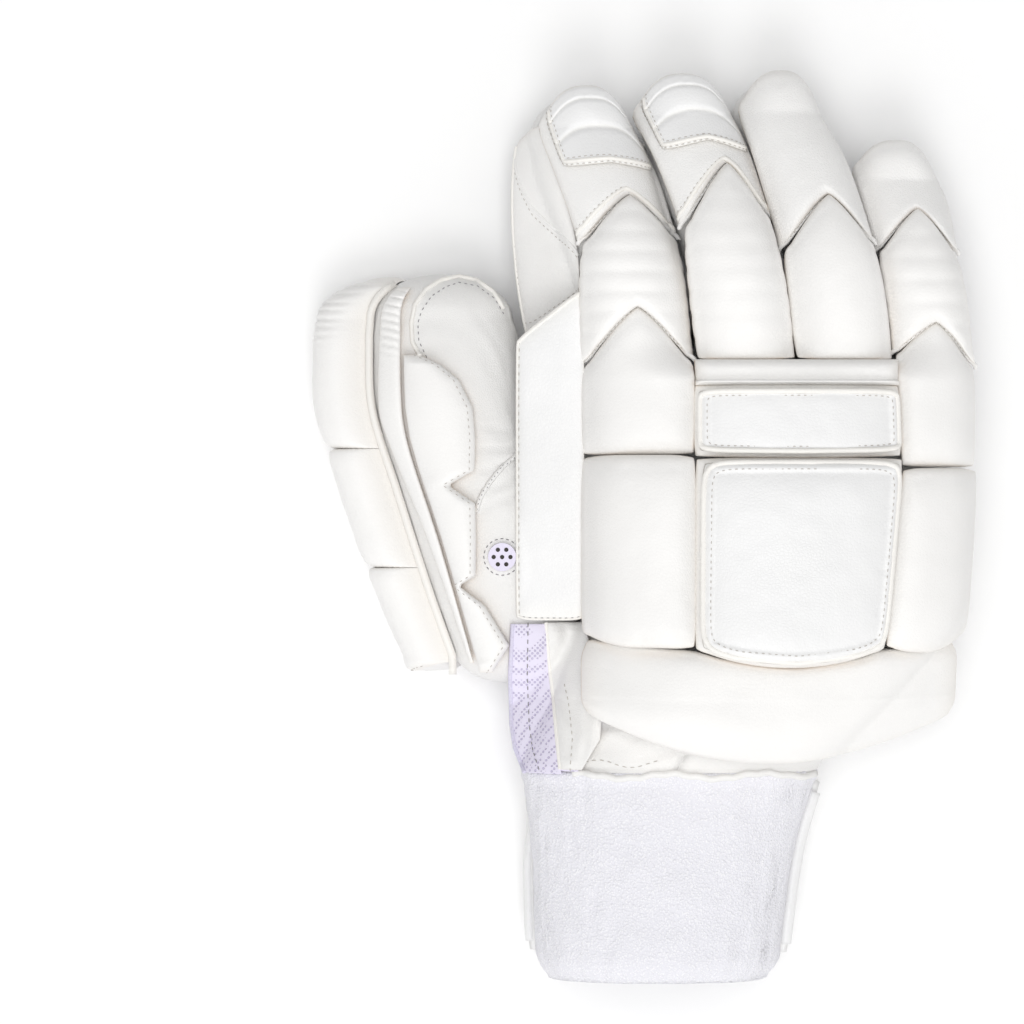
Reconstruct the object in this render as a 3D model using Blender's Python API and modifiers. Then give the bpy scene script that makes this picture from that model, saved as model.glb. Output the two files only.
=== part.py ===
"""Right-hand cricket batting glove, lying palm down, finger tips toward +Y.

Lengths in the tables are millimetres, read from above: +X is the little
finger's side, +Y the finger tips, +Z up to the back of the hand.
The leather hand, the stalls, the thumb and the cuff are hollow shells, and
each protective roll or pad is a closed pillow that lies on them.
"""
import math

import bmesh
import bpy

MM = 0.001

# Named sizes shared by the pieces, in millimetres
CLEAR = 0.5          # air between a pad and the shell that it lies on
SEAM = 0.45          # half of the air between two neighbouring rolls
LEATHER = 1.8        # wall of the leather shells
TERRY = 2.6          # wall of the towelling cuff
STRAP_THICK = 2.6    # closing strap with its binding
PATCH_THICK = 1.8    # inset patches and plates
FLOOR = 0.0          # the surface the glove lies on
CUFF_FLOOR = FLOOR + STRAP_THICK + CLEAR
HAND_FLOOR = 4.2
STALL_FLOOR = 0.0
SECTION = 2.35       # roundness of the shells, 2 is an ellipse
DROOP = 0.55         # fall of a pad that reaches out past its shell
PLATE_CLEAR = 0.75   # air under a plate that follows a pad's curve
PAD_REACH = 3.0      # how far the back pads reach out past the hand's shell
ROLL_REACH = (6.0, 4.5)   # the same for a finger roll over the hand and over its stall
ROLL_FOOT = FLOOR + 2.0   # lowest foot of a finger roll
ROLL_CORNER, ROLL_FLAT = 0.05, 2.3   # corner cut and crown of a finger roll's plan

# Shell rows: y, centre x, centre z, half width, half height
HAND = (
    (-56.0, 25.5, 28.0, 53.0, 25.0),
    (-30.0, 40.5, 26.5, 60.0, 23.5),
    (10.0, 43.5, 25.0, 62.5, 22.0),
    (44.0, 44.0, 24.0, 63.0, 20.5),
)
WRIST = (
    (-81.4, 9.0, 29.0, 48.0, 26.5),
    (-68.0, 16.5, 28.5, 50.0, 25.8),
    (-56.9, 25.0, 28.0, 52.8, 25.0),
)
CUFF = (
    (-149.7, 4.3, 28.5, 39.9, 27.0),
    (-130.0, 5.0, 28.5, 41.0, 27.0),
    (-105.0, 6.5, 28.5, 43.5, 27.0),
    (-83.2, 8.5, 28.5, 48.3, 27.0),
)
THUMB = (
    (-44.0, -43.0, 20.0, 20.0, 15.0),
    (-20.0, -46.0, 21.5, 25.8, 17.5),
    (10.0, -54.5, 21.0, 27.0, 18.0),
    (38.0, -63.5, 20.0, 26.5, 17.5),
    (60.0, -66.0, 18.5, 25.0, 16.5),
    (68.0, -67.0, 17.5, 23.5, 16.0),
)
THUMB_END = 83.0
THUMB_FOOT = -53.0

STALLS = {
    "index": ((46.2, -3.0, 25.0, 15.3, 12.5), (80.0, -7.0, 26.0, 15.0, 12.5),
              (112.0, -17.0, 19.0, 16.5, 12.5), (130.0, -21.5, 13.0, 16.0, 12.0)),
    "middle": ((46.2, 32.0, 25.0, 15.0, 12.5), (80.0, 29.5, 28.0, 14.5, 12.5),
               (115.0, 18.5, 20.0, 14.5, 12.5), (134.0, 12.5, 13.0, 14.0, 12.0)),
    "ring": ((46.2, 64.5, 25.0, 14.5, 12.5), (80.0, 62.0, 28.0, 14.0, 12.5),
             (115.0, 52.0, 20.0, 13.5, 12.5), (135.0, 42.5, 13.0, 13.0, 12.0)),
    "little": ((46.2, 93.8, 24.0, 12.3, 11.5), (75.0, 92.5, 25.0, 12.5, 11.5),
               (98.0, 87.0, 19.0, 12.8, 11.5), (113.0, 82.0, 12.5, 12.4, 11.5)),
}
STALL_END = {"index": 142.5, "middle": 146.0, "ring": 147.0, "little": 124.5}

# Hem lines of the finger rolls, from the hand to the tip:
# left x, right x, left y, middle y, right y, bend of the line (1 is a V, 2 an arc)
HEMS = {
    "index": ((-20.5, 15.0, 22.3, 22.3, 22.3, 2.0), (-20.8, 15.0, 48.7, 70.4, 50.7, 1.25),
              (-20.5, 10.0, 90.0, 107.4, 92.0, 1.25), (-35.0, -3.5, 130.0, 144.8, 127.0, 2.6)),
    "middle": ((16.9, 48.4, 54.6, 54.9, 55.0, 2.0), (12.6, 40.6, 94.5, 118.0, 98.0, 1.25),
               (-4.0, 29.0, 134.0, 148.7, 132.5, 2.6)),
    "ring": ((49.5, 79.6, 55.0, 54.9, 54.6, 2.0), (45.0, 74.0, 87.1, 107.3, 89.5, 1.25),
             (31.0, 60.0, 136.0, 149.7, 128.0, 2.6)),
    "little": ((82.8, 107.3, 18.4, 18.4, 18.4, 2.0), (81.2, 107.3, 54.0, 65.4, 49.5, 1.25),
               (76.3, 102.0, 87.1, 103.3, 87.1, 1.25), (69.0, 98.0, 116.0, 126.8, 109.0, 2.6)),
}
# Rolls, from the hand to the tip of each finger: name, finger, thickness, rim height,
# side bulge, ribs, rib depth
ROLLS = (
    ("index_base_roll", "index", 21.0, 6.0, 0.2, 0, 0.0),
    ("index_mid_roll", "index", 20.0, 6.0, 0.8, 5, 0.13),
    ("index_tip_roll", "index", 14.0, 5.0, 1.0, 0, 0.0),
    ("middle_roll", "middle", 20.0, 6.0, 0.7, 5, 0.06),
    ("middle_tip_roll", "middle", 14.0, 5.0, 0.5, 0, 0.0),
    ("ring_roll", "ring", 20.0, 6.0, 0.5, 0, 0.0),
    ("ring_tip_roll", "ring", 16.0, 5.0, 0.6, 0, 0.0),
    ("little_base_roll", "little", 19.0, 6.0, 0.2, 0, 0.0),
    ("little_mid_roll", "little", 18.0, 6.0, 0.4, 5, 0.11),
    ("little_tip_roll", "little", 14.0, 5.0, 0.6, 0, 0.0),
)
# Back pads: name, lower line, upper line, thickness, rim, corner cut, flatness
PADS = (
    ("knuckle_bar", (16.6, 80.4, 47.4, 47.4, 47.4, 2.0), (16.6, 80.4, 54.2, 54.2, 54.2, 2.0),
     20.0, 5.0, 0.04, 2.2),
    ("knuckle_pad", (15.9, 81.4, 22.2, 21.4, 22.2, 2.0), (15.9, 80.6, 47.2, 47.0, 47.2, 2.0),
     22.0, 7.0, 0.05, 3.4),
    ("back_pad_index", (-20.8, 14.6, -37.5, -40.5, -40.5, 2.0), (-20.8, 15.0, 22.1, 22.1, 22.1, 2.0),
     25.0, 9.0, 0.07, 3.2),
    ("back_pad_centre", (15.6, 75.0, -40.0, -46.1, -40.0, 2.0), (15.9, 81.6, 20.7, 20.7, 20.7, 2.0),
     26.0, 9.0, 0.06, 4.0),
    ("back_pad_little", (77.4, 105.0, -39.5, -41.8, -35.0, 2.0), (82.9, 108.4, 17.6, 17.6, 17.6, 2.0),
     23.0, 9.0, 0.07, 2.8),
    ("wrist_roll", (-20.8, 102.5, -61.2, -77.6, -63.2, 2.0), (-20.8, 102.5, -41.4, -47.6, -41.4, 2.0),
     21.0, 7.0, 0.09, 2.2),
)


def blend(rows, y):
    """Smooth values of a table's columns at y, through each row."""
    count = len(rows)
    i = 0
    while i < count - 2 and y > rows[i + 1][0]:
        i += 1
    low, high = rows[i], rows[i + 1]
    span = high[0] - low[0]
    t = min(1.0, max(0.0, (y - low[0]) / span))
    before = rows[max(i - 1, 0)]
    after = rows[min(i + 2, count - 1)]
    values = []
    for k in range(1, len(low)):
        slope_a = (high[k] - before[k]) / (high[0] - before[0]) * span
        slope_b = (after[k] - low[k]) / (after[0] - low[0]) * span
        h = t * t * (3.0 - 2.0 * t)
        values.append(low[k] * (1.0 - h) + high[k] * h
                      + slope_a * t * (1.0 - t) ** 2 - slope_b * t * t * (1.0 - t))
    return values


def power(value, exponent):
    return math.copysign(abs(value) ** exponent, value)


def section(row, angle, floor, grow=0.0, scale=1.0):
    """Point of a shell's cross section; grow moves it outward."""
    x, z, half_w, half_h = row
    px = x + (half_w * scale + grow) * power(math.cos(angle), 2.0 / SECTION)
    pz = z + (half_h * scale + grow) * power(math.sin(angle), 2.0 / SECTION)
    return px, max(pz, floor - grow)


def shell_top(rows, x, y, reach, side=1.0):
    """Height of a shell's upper side at (x, y), widened by reach; side -1 is its palm side."""
    cx, cz, half_w, half_h = blend(rows, y)
    edge = 0.985 * (half_w + reach)
    share = min(edge, abs(x - cx)) / (half_w + reach)
    droop = DROOP * max(0.0, abs(x - cx) - edge)
    return cz + side * (half_h * (1.0 - share ** SECTION) ** (1.0 / SECTION) - droop)


def hem_point(hem, u):
    left_x, right_x, left_y, mid_y, right_y, bend = hem
    side_y = left_y if u < 0 else right_y
    return (left_x + (right_x - left_x) * (u + 1.0) / 2.0,
            mid_y + (side_y - mid_y) * abs(u) ** bend)


def hem_mean(hem):
    return (hem[3] + (hem[2] + hem[4]) / 2.0) / 2.0


# Scene, collections and materials
for old in list(bpy.data.objects):
    bpy.data.objects.remove(old, do_unlink=True)
parts = bpy.data.collections.new("batting_glove")
cutters = bpy.data.collections.new("cutters")
bpy.context.scene.collection.children.link(parts)
bpy.context.scene.collection.children.link(cutters)

PAD_WHITE = (0.87, 0.86, 0.83, 1.0)
PATCH_WHITE = (0.90, 0.91, 0.92, 1.0)
HIDE_WHITE = (0.82, 0.82, 0.80, 1.0)
TOWEL = (0.78, 0.77, 0.84, 1.0)
MESH = (0.72, 0.68, 0.84, 1.0)


def finish(bm, name, colour, roughness, wall=0.0, collection=None):
    mesh = bpy.data.meshes.new(name)
    bm.to_mesh(mesh)
    bm.free()
    obj = bpy.data.objects.new(name, mesh)
    (collection or parts).objects.link(obj)
    if colour:
        mat = bpy.data.materials.new(name)
        mat.use_nodes = True
        bsdf = mat.node_tree.nodes["Principled BSDF"]
        bsdf.inputs["Base Color"].default_value = colour
        bsdf.inputs["Roughness"].default_value = roughness
        bsdf.inputs["Metallic"].default_value = 0.0
        mesh.materials.append(mat)
    if wall:
        solid = obj.modifiers.new("wall", "SOLIDIFY")
        solid.thickness = wall * MM
        solid.offset = -1.0
        solid.use_even_offset = True
    return obj


def grid_shape(bm, columns, lines, place):
    """A flat grid whose points are carried to place(a, b), a and b from -1 to 1."""
    made = bmesh.ops.create_grid(bm, x_segments=columns, y_segments=lines, size=1.0)
    for vert in made["verts"]:
        x, y, z = place(vert.co.x, vert.co.y)
        vert.co = (x * MM, y * MM, z * MM)


def shell(name, rows, stations, floor, wall, colour, roughness, sides=18):
    """An open tube of leather: one ring for each station (y, share of the section)."""
    bm = bmesh.new()
    last = len(stations) - 1

    def place(a, b):
        y, share = stations[round((b + 1.0) / 2.0 * last)]
        row = blend(rows, y)
        x, z = section(row, -a * math.pi - math.pi / 2.0, floor, 0.0, share)
        return x, y, z

    grid_shape(bm, sides, last, place)
    bmesh.ops.remove_doubles(bm, verts=bm.verts, dist=0.00002)
    return finish(bm, name, colour, roughness, wall)


def tip_stations(start, end, radius, count):
    """Even rings to the start of the round tip, then rings that close it."""
    straight = end - radius
    rings = [(start + (straight - start) * i / count, 1.0) for i in range(count + 1)]
    for turn in (32.0, 58.0, 78.0, 90.0):
        angle = math.radians(turn)
        rings.append((straight + radius * math.sin(angle), max(0.0, math.cos(angle))))
    rings[-1] = (end, 0.0)
    return rings


def pillow(name, columns, lines, under, over, colour=PAD_WHITE, roughness=0.55):
    """Two grids, carried to the upper and the lower side and welded along the rim."""
    bm = bmesh.new()
    grid_shape(bm, columns, lines, over)
    upper = list(bm.faces)
    upper_verts = set(bm.verts)
    grid_shape(bm, columns, lines, under)
    lower = [face for face in bm.faces if face.verts[0] not in upper_verts]
    bmesh.ops.reverse_faces(bm, faces=lower)
    bmesh.ops.remove_doubles(bm, verts=bm.verts, dist=0.000001)
    print(name, len(upper) + len(lower), "faces")
    return finish(bm, name, colour, roughness)


def spread(value, even):
    """Grid share to shape share: even steps, or closer together near the rim."""
    return value if even else math.sin(value * math.pi / 2.0)


def pad(low, high, base, thick, rim, corner, flat, side=0.0, ribs=0, depth=0.0, lift=CLEAR):
    """Upper and lower side of a pad between two hem lines, over the height base(x, y)."""
    def plan(u, v):
        across = u * (1.0 - corner * abs(v) ** 6)
        along = v * (1.0 - corner * abs(u) ** 6)
        x0, y0 = hem_point(low, across)
        x1, y1 = hem_point(high, across)
        mean0, mean1 = hem_mean(low), hem_mean(high)
        t = (along + 1.0) / 2.0
        y = (mean0 + SEAM) * (1.0 - t) + (mean1 - SEAM) * t
        y += (y0 - mean0) * (1.0 - t) ** 2 + (y1 - mean1) * t ** 2
        return x0 + (x1 - x0) * t + across * side * (1.0 - v * v), y

    def crown(u, v):
        full = (max(0.0, 1.0 - abs(u) ** flat) * max(0.0, 1.0 - abs(v) ** (flat + 0.6))) ** 0.5
        if ribs:
            full *= 1.0 - depth * (0.5 + 0.5 * math.cos(math.pi * ribs * (v + 1.0)))
        return full

    def over(a, b):
        u, v = spread(a, False), spread(b, bool(ribs))
        x, y = plan(u, v)
        return x, y, base(x, y) + lift + rim + (thick - rim) * crown(u, v)

    def under(a, b):
        u, v = spread(a, False), spread(b, bool(ribs))
        x, y = plan(u, v)
        return x, y, base(x, y) + lift + rim * (1.0 - min(1.0, 1.5 * crown(u, v)))

    return under, over


def plate(host, u0, u1, v0, v1, thick, lift=PLATE_CLEAR):
    """Upper and lower side of a thin plate that lies on part of a host pad's top."""
    def at(a, b):
        # host shares are grid shares, so the plate follows the pad's own curve
        return host(u0 + (u1 - u0) * (a + 1.0) / 2.0, v0 + (v1 - v0) * (b + 1.0) / 2.0)

    def corner(a, b):
        return a * (1.0 - 0.05 * abs(b) ** 6), b * (1.0 - 0.05 * abs(a) ** 6)

    def over(a, b):
        x, y, z = at(*corner(a, b))
        inside = min(1.0, 4.0 * (1.0 - abs(a))) * min(1.0, 4.0 * (1.0 - abs(b)))
        return x, y, z + lift + thick * (0.35 + 0.65 * inside)

    def under(a, b):
        x, y, z = at(*corner(a, b))
        inside = min(1.0, 4.0 * (1.0 - abs(a))) * min(1.0, 4.0 * (1.0 - abs(b)))
        return x, y, z + lift + thick * 0.35 * (1.0 - inside)

    return under, over


# Hollow leather hand, closed at the front, with a hole for each finger and the thumb
hand_rings = [(HAND[0][0] + (HAND[-1][0] - HAND[0][0]) * i / 6, 1.0) for i in range(7)]
hand_rings += [(HAND[-1][0] + 1.2, 0.94), (HAND[-1][0] + 1.6, 0.80), (HAND[-1][0] + 1.7, 0.0)]
hand = shell("hand_shell", HAND, hand_rings, HAND_FLOOR, LEATHER, HIDE_WHITE, 0.6, 28)


def cut_hole(name, targets, centre, radii, length, axis):
    """An elliptical punch that goes through the walls of its targets."""
    bm = bmesh.new()
    bmesh.ops.create_cone(bm, cap_ends=True, segments=20, radius1=1.0, radius2=1.0, depth=1.0)
    for vert in bm.verts:
        across, up, along = vert.co.x * radii[0], vert.co.y * radii[1], vert.co.z * length
        if axis == "Y":
            vert.co = (across * MM, -along * MM, up * MM)
        else:
            vert.co = (along * MM, across * MM, up * MM)
    bm.normal_update()
    bmesh.ops.recalc_face_normals(bm, faces=bm.faces)
    punch = finish(bm, name, None, 0.0, 0.0, cutters)
    punch.location = [value * MM for value in centre]
    punch.hide_render = True
    punch.display_type = "WIRE"
    for target in targets:
        cut = target.modifiers.new(name, "BOOLEAN")
        cut.operation = "DIFFERENCE"
        cut.object = punch


for finger, rows in STALLS.items():
    rings = tip_stations(rows[0][0], STALL_END[finger], 12.5, 5)
    shell(finger + "_stall", rows, rings, STALL_FLOOR, LEATHER, HIDE_WHITE, 0.6, 14)
    _, x, z, half_w, half_h = rows[0]
    cut_hole(finger + "_hole", [hand], (x, HAND[-1][0], z),
             (half_w - LEATHER - 0.6, half_h - LEATHER - 0.6), 12.0, "Y")

thumb_rings = [(THUMB_FOOT, 0.0), (THUMB_FOOT + 0.5, 0.32), (THUMB_FOOT + 2.2, 0.62),
               (THUMB_FOOT + 5.5, 0.85)]
thumb_rings += tip_stations(THUMB[0][0], THUMB_END, 15.0, 5)
thumb = shell("thumb_stall", THUMB, thumb_rings, STALL_FLOOR, LEATHER, HIDE_WHITE, 0.6, 18)
cut_hole("thumb_hole", [hand, thumb], (-20.0, -18.0, 24.0), (15.0, 9.5), 26.0, "X")

# Wrist leather and towelling cuff
wrist_rings = [(WRIST[0][0] + (WRIST[-1][0] - WRIST[0][0]) * i / 3, 1.0) for i in range(4)]
shell("wrist_skirt", WRIST, wrist_rings, HAND_FLOOR, LEATHER, HIDE_WHITE, 0.6, 24)
cuff_rings = [(CUFF[0][0] + (CUFF[-1][0] - CUFF[0][0]) * i / 4, 1.0) for i in range(5)]
shell("cuff", CUFF, cuff_rings, CUFF_FLOOR, TERRY, TOWEL, 0.95, 24)

# Closing strap: a band that follows the cuff's palm side, flat where it rests
STRAP_Y = (-144.0, -84.6)
STRAP_TURN = (-172.0, -8.0)


def strap_place(a, b):
    y = STRAP_Y[0] + (STRAP_Y[1] - STRAP_Y[0]) * (b * (1.0 - 0.05 * abs(a) ** 6) + 1.0) / 2.0
    share = (1.0 - a * (1.0 - 0.03 * abs(b) ** 6)) / 2.0
    angle = math.radians(STRAP_TURN[0] + (STRAP_TURN[1] - STRAP_TURN[0]) * share)
    x, z = section(blend(CUFF, y), angle, CUFF_FLOOR, STRAP_THICK + CLEAR)
    return x, y, z


bm = bmesh.new()
grid_shape(bm, 18, 4, strap_place)
strap = finish(bm, "strap", PATCH_WHITE, 0.5, STRAP_THICK)

# Finger rolls
tops = {}
order = [finger for _, finger, *_ in ROLLS]
for place, (name, finger, thick, rim, side, ribs, depth) in enumerate(ROLLS):
    rows, ribs = STALLS[finger], round(ribs)
    low, high = HEMS[finger][order[:place].count(finger):][:2]

    def base(x, y, rows=rows):
        hand_z = shell_top(HAND, x, min(y, HAND[-1][0]), ROLL_REACH[0])
        stall_z = shell_top(rows, x, max(y, rows[0][0]), ROLL_REACH[1])
        near = min(1.0, max(0.0, (y - rows[0][0]) / 14.0))
        near = near * near * (3.0 - 2.0 * near)
        return hand_z * (1.0 - near) + max(stall_z, ROLL_FOOT) * near

    under, over = pad(low, high, base, thick, rim, ROLL_CORNER, ROLL_FLAT, side, ribs, depth)
    tops[name] = over
    pillow(name, 6, 2 * ribs + 2 if ribs else 6, under, over)


# Back pads, knuckle bar and wrist roll
STALL_TOP = STALLS["middle"][0][2] + STALLS["middle"][0][4] + 0.6


def back_base(x, y):
    if y > STALLS["middle"][0][0]:
        return STALL_TOP
    rows = WRIST if y < WRIST[-1][0] else HAND
    if WRIST[-1][0] <= y < HAND[0][0]:
        y = HAND[0][0]
    return shell_top(rows, x, min(y, HAND[-1][0]), PAD_REACH)


for name, low, high, thick, rim, corner, flat in PADS:
    under, over = pad(low, high, back_base, thick, rim, corner, flat)
    tops[name] = over
    pillow(name, 12 if name == "wrist_roll" else 8, 4 if name == "knuckle_bar" else 6, under, over)

# Plates and patches on top of their pads: name, host, u range, v range
PLATES = (
    ("index_cap_plate", "index_tip_roll", -0.62, 0.62, -0.1, 0.72),
    ("middle_cap_plate", "middle_tip_roll", -0.62, 0.62, -0.1, 0.72),
    ("knuckle_patch", "knuckle_pad", -0.78, 0.78, -0.52, 0.52),
    ("back_patch", "back_pad_centre", -0.76, 0.76, -0.70, 0.74),
)
for name, host, u0, u1, v0, v1 in PLATES:
    under, over = plate(tops[host], u0, u1, v0, v1, PATCH_THICK)
    pillow(name, 6, 4, under, over, PATCH_WHITE, 0.45)


# Thumb: outer roll in three lengths, welt, gathered band and shaped side pad
# Rows: y, x of the welt, x of the gathered band's right edge
WELT = (
    (-50.0, -58.5, -55.0),
    (-6.0, -73.5, -67.5),
    (25.0, -86.0, -77.5),
    (38.0, -90.0, -79.8),
    (76.0, -89.0, -80.5),
)
WELT_RADIUS = 1.3
WELT_TURN = 157.0
ROLL_TURNS = (165.0, 236.0)
# name, low y, low dip, high y, high dip, thickness at the low and the high end
THUMB_ROLLS = (
    ("thumb_base_roll", -49.5, 3.5, -14.6, 0.0, 14.5, 17.0),
    ("thumb_mid_roll", -14.6, 0.0, 24.8, 0.0, 17.0, 17.5),
    ("thumb_tip_roll", 24.8, 0.0, 82.5, 3.5, 17.5, 16.5),
)
THUMB_RIM = 3.5


def thumb_roll(low_y, low_dip, high_y, high_dip, low_thick, high_thick):
    """Upper and lower side of a roll that stands out from the thumb's outer side."""
    def at(a, b, outside):
        u, v = spread(a, False), spread(b, False)
        crown = (max(0.0, 1.0 - abs(u) ** 2.2) * max(0.0, 1.0 - abs(v) ** 7.0)) ** 0.5
        low = low_y + SEAM + low_dip * abs(u) ** 2
        high = high_y - SEAM - high_dip * abs(u) ** 2
        y = low + (high - low) * (v + 1.0) / 2.0
        thick = low_thick + (high_thick - low_thick) * (v + 1.0) / 2.0
        turn = ROLL_TURNS[0] + (ROLL_TURNS[1] - ROLL_TURNS[0]) * (1.0 - u) / 2.0
        if outside:
            grow = CLEAR + THUMB_RIM + (thick - THUMB_RIM) * crown
        else:
            grow = CLEAR + THUMB_RIM * (1.0 - min(1.0, 1.5 * crown))
        x, z = section(blend(THUMB, y), math.radians(turn), -99.0, grow)
        return x, y, max(z, FLOOR + 0.2)

    return (lambda a, b: at(a, b, False)), (lambda a, b: at(a, b, True))


for name, *sizes in THUMB_ROLLS:
    under, over = thumb_roll(*sizes)
    pillow(name, 8, 6, under, over)

welt = bpy.data.curves.new("thumb_welt", "CURVE")
welt.dimensions = "3D"
welt.bevel_depth = WELT_RADIUS * MM
welt.bevel_resolution = 1
welt.use_fill_caps = True
welt_steps = 16
line = welt.splines.new("POLY")
line.points.add(welt_steps - 1)
for i, point in enumerate(line.points):
    y = WELT[0][0] + (WELT[-1][0] - WELT[0][0]) * i / (welt_steps - 1)
    x, z = section(blend(THUMB, y), math.radians(WELT_TURN), 0.0, CLEAR + WELT_RADIUS)
    point.co = (x * MM, y * MM, z * MM, 1.0)
welt_mat = bpy.data.materials.new("thumb_welt")
welt_mat.use_nodes = True
welt_bsdf = welt_mat.node_tree.nodes["Principled BSDF"]
welt_bsdf.inputs["Base Color"].default_value = PAD_WHITE
welt_bsdf.inputs["Roughness"].default_value = 0.5
welt.materials.append(welt_mat)
parts.objects.link(bpy.data.objects.new("thumb_welt", welt))


def strip(edges, thick, rim, base, lift=CLEAR, palm=False):
    """Upper and lower side of a pad with a left and a right edge at each y of a table."""
    last = len(edges) - 1

    def at(a, b):
        y, left, right = edges[round((b + 1.0) / 2.0 * last)]
        x = left + (right - left) * (spread(a, False) + 1.0) / 2.0
        ends = min(1.0, (1.0 - abs(b)) * last / 2.0)
        return x, y, (max(0.0, 1.0 - abs(spread(a, False)) ** 2.6) * ends) ** 0.5

    def high(a, b):
        x, y, full = at(a, b)
        return x, y, base(x, y) + lift + rim + (thick - rim) * full

    def low(a, b):
        x, y, full = at(a, b)
        return x, y, base(x, y) + lift + rim * (1.0 - min(1.0, 1.5 * full))

    def palm_low(a, b):
        x, y, full = at(a, b)
        return x, y, base(x, y) - lift - rim - (thick - rim) * full

    def palm_high(a, b):
        x, y, full = at(a, b)
        return x, y, base(x, y) - lift - rim * (1.0 - min(1.0, 1.5 * full))

    return (palm_low, palm_high) if palm else (low, high)


def thumb_top(x, y):
    return shell_top(THUMB, x, y, 1.2)


BAND_GAP = WELT_RADIUS + 1.0
band_edges = []
for i in range(13):
    y = -46.0 + 119.0 * i / 12
    welt_x, right_x = blend(WELT, y)
    band_edges.append((y, welt_x + BAND_GAP, right_x))
under, over = strip(band_edges, 3.2, 1.2, thumb_top)
pillow("thumb_gather_band", 4, 12, under, over)

# Right edge of the side pad, with its two notches: y, x
SIDE_PAD = ((-49.0, -50.0), (-40.0, -44.5), (-27.0, -52.5), (-20.5, -61.0), (-17.0, -55.5),
            (-5.0, -55.4), (6.5, -55.6), (12.5, -64.5), (17.5, -55.8), (28.0, -55.6),
            (38.0, -56.5), (47.0, -61.0), (52.0, -67.0), (55.5, -74.5))
side_edges = [(y, blend(WELT, y)[1] + 1.0, x) for y, x in SIDE_PAD]
under, over = strip(side_edges, 6.0, 2.0, thumb_top)
pillow("thumb_side_pad", 6, len(side_edges) - 1, under, over)

# Round mesh vent on the thumb's top
VENT = (-46.9, -11.0, 4.6, 1.0)
bm = bmesh.new()
bmesh.ops.create_cone(bm, cap_ends=True, segments=18, radius1=VENT[2] * MM, radius2=VENT[2] * MM,
                      depth=VENT[3] * MM)
vent = finish(bm, "thumb_vent", MESH, 0.9)
vent.location = (VENT[0] * MM, VENT[1] * MM,
                 (thumb_top(VENT[0], VENT[1]) + CLEAR + VENT[3] / 2.0) * MM)

# Guard flap over the cleft of the thumb, and the index finger's side leather
FLAP = (-41.5, -22.2, 38.2, 41.0)


def flap_base(x, y):
    share = (x - FLAP[0]) / (FLAP[1] - FLAP[0])
    return max(FLAP[2] + (FLAP[3] - FLAP[2]) * share, thumb_top(x, y))


under, over = pad((FLAP[0], FLAP[1], -31.3, -31.3, -31.3, 1.0), (FLAP[0], FLAP[1], 60.0, 68.5, 77.0, 1.0),
                  flap_base, 3.2, 1.4, 0.02, 5.0)
pillow("side_guard", 6, 6, under, over, PATCH_WHITE, 0.5)

under, over = pad((-39.0, -24.5, 62.0, 69.0, 76.0, 1.0), (-42.0, -36.5, 129.0, 132.0, 135.0, 1.0),
                  lambda x, y: shell_top(STALLS["index"], x, y, 1.6), 3.4, 1.4, 0.04, 3.0, 2.5)
pillow("index_side_panel", 6, 6, under, over, HIDE_WHITE, 0.55)

# Mesh gusset on the thumb side of the wrist
GUSSET_Y = (-80.6, -57.6)
GUSSET_TURN = (126.0, 214.0)


def gusset(a, b, outside):
    u, v = spread(a, False), spread(b, False)
    full = (max(0.0, 1.0 - abs(u) ** 3) * max(0.0, 1.0 - abs(v) ** 4)) ** 0.5
    y = GUSSET_Y[0] + (GUSSET_Y[1] - GUSSET_Y[0]) * (v + 1.0) / 2.0
    turn = GUSSET_TURN[0] + (GUSSET_TURN[1] - GUSSET_TURN[0]) * (1.0 - u) / 2.0
    grow = PLATE_CLEAR + (1.0 + 1.8 * full if outside else 1.0 - min(1.0, 1.5 * full))
    x, z = section(blend(WRIST, y), math.radians(turn), 0.0, grow)
    return x, y, z


pillow("side_gusset", 8, 4, lambda a, b: gusset(a, b, False), lambda a, b: gusset(a, b, True),
       MESH, 0.95)

# Quilted heel patch and the thumb's mesh window, on the palm side
HEEL = ((-53.0, 36.0, 82.0), (-46.0, 34.5, 84.5), (-34.0, 36.0, 86.0), (-24.0, 43.0, 86.0),
        (-15.0, 52.0, 84.0))
under, over = strip(HEEL, 2.0, 0.8, lambda x, y: HAND_FLOOR, CLEAR, True)
pillow("heel_quilt", 6, len(HEEL) - 1, under, over, HIDE_WHITE, 0.6)
WINDOW = ((-9.0, -57.0, -49.0), (-3.0, -62.0, -44.5), (8.0, -66.0, -43.5), (22.0, -70.0, -47.0),
          (36.0, -72.0, -53.5), (48.0, -70.5, -59.0), (55.0, -68.0, -62.5))
under, over = strip(WINDOW, 1.4, 0.6, lambda x, y: shell_top(THUMB, x, y, 3.0, -1.0), CLEAR, True)
pillow("thumb_palm_mesh", 6, len(WINDOW) - 1, under, over, MESH, 0.9)

# The origin goes to the middle of the underside of the whole glove
graph = bpy.context.evaluated_depsgraph_get()
corners = []
for obj in parts.objects:
    whole = obj.evaluated_get(graph)
    shape = whole.to_mesh()
    corners += [obj.matrix_world @ vert.co for vert in shape.vertices]
    whole.to_mesh_clear()
lows = [min(point[k] for point in corners) for k in range(3)]
highs = [max(point[k] for point in corners) for k in range(3)]
shift = ((lows[0] + highs[0]) / 2.0, (lows[1] + highs[1]) / 2.0, lows[2])
for obj in list(parts.objects) + list(cutters.objects):
    obj.location.x -= shift[0]
    obj.location.y -= shift[1]
    obj.location.z -= shift[2]
print("size mm", [round((b - a) / MM, 1) for a, b in zip(lows, highs)],
      "shift mm", [round(value / MM, 2) for value in shift])
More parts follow.
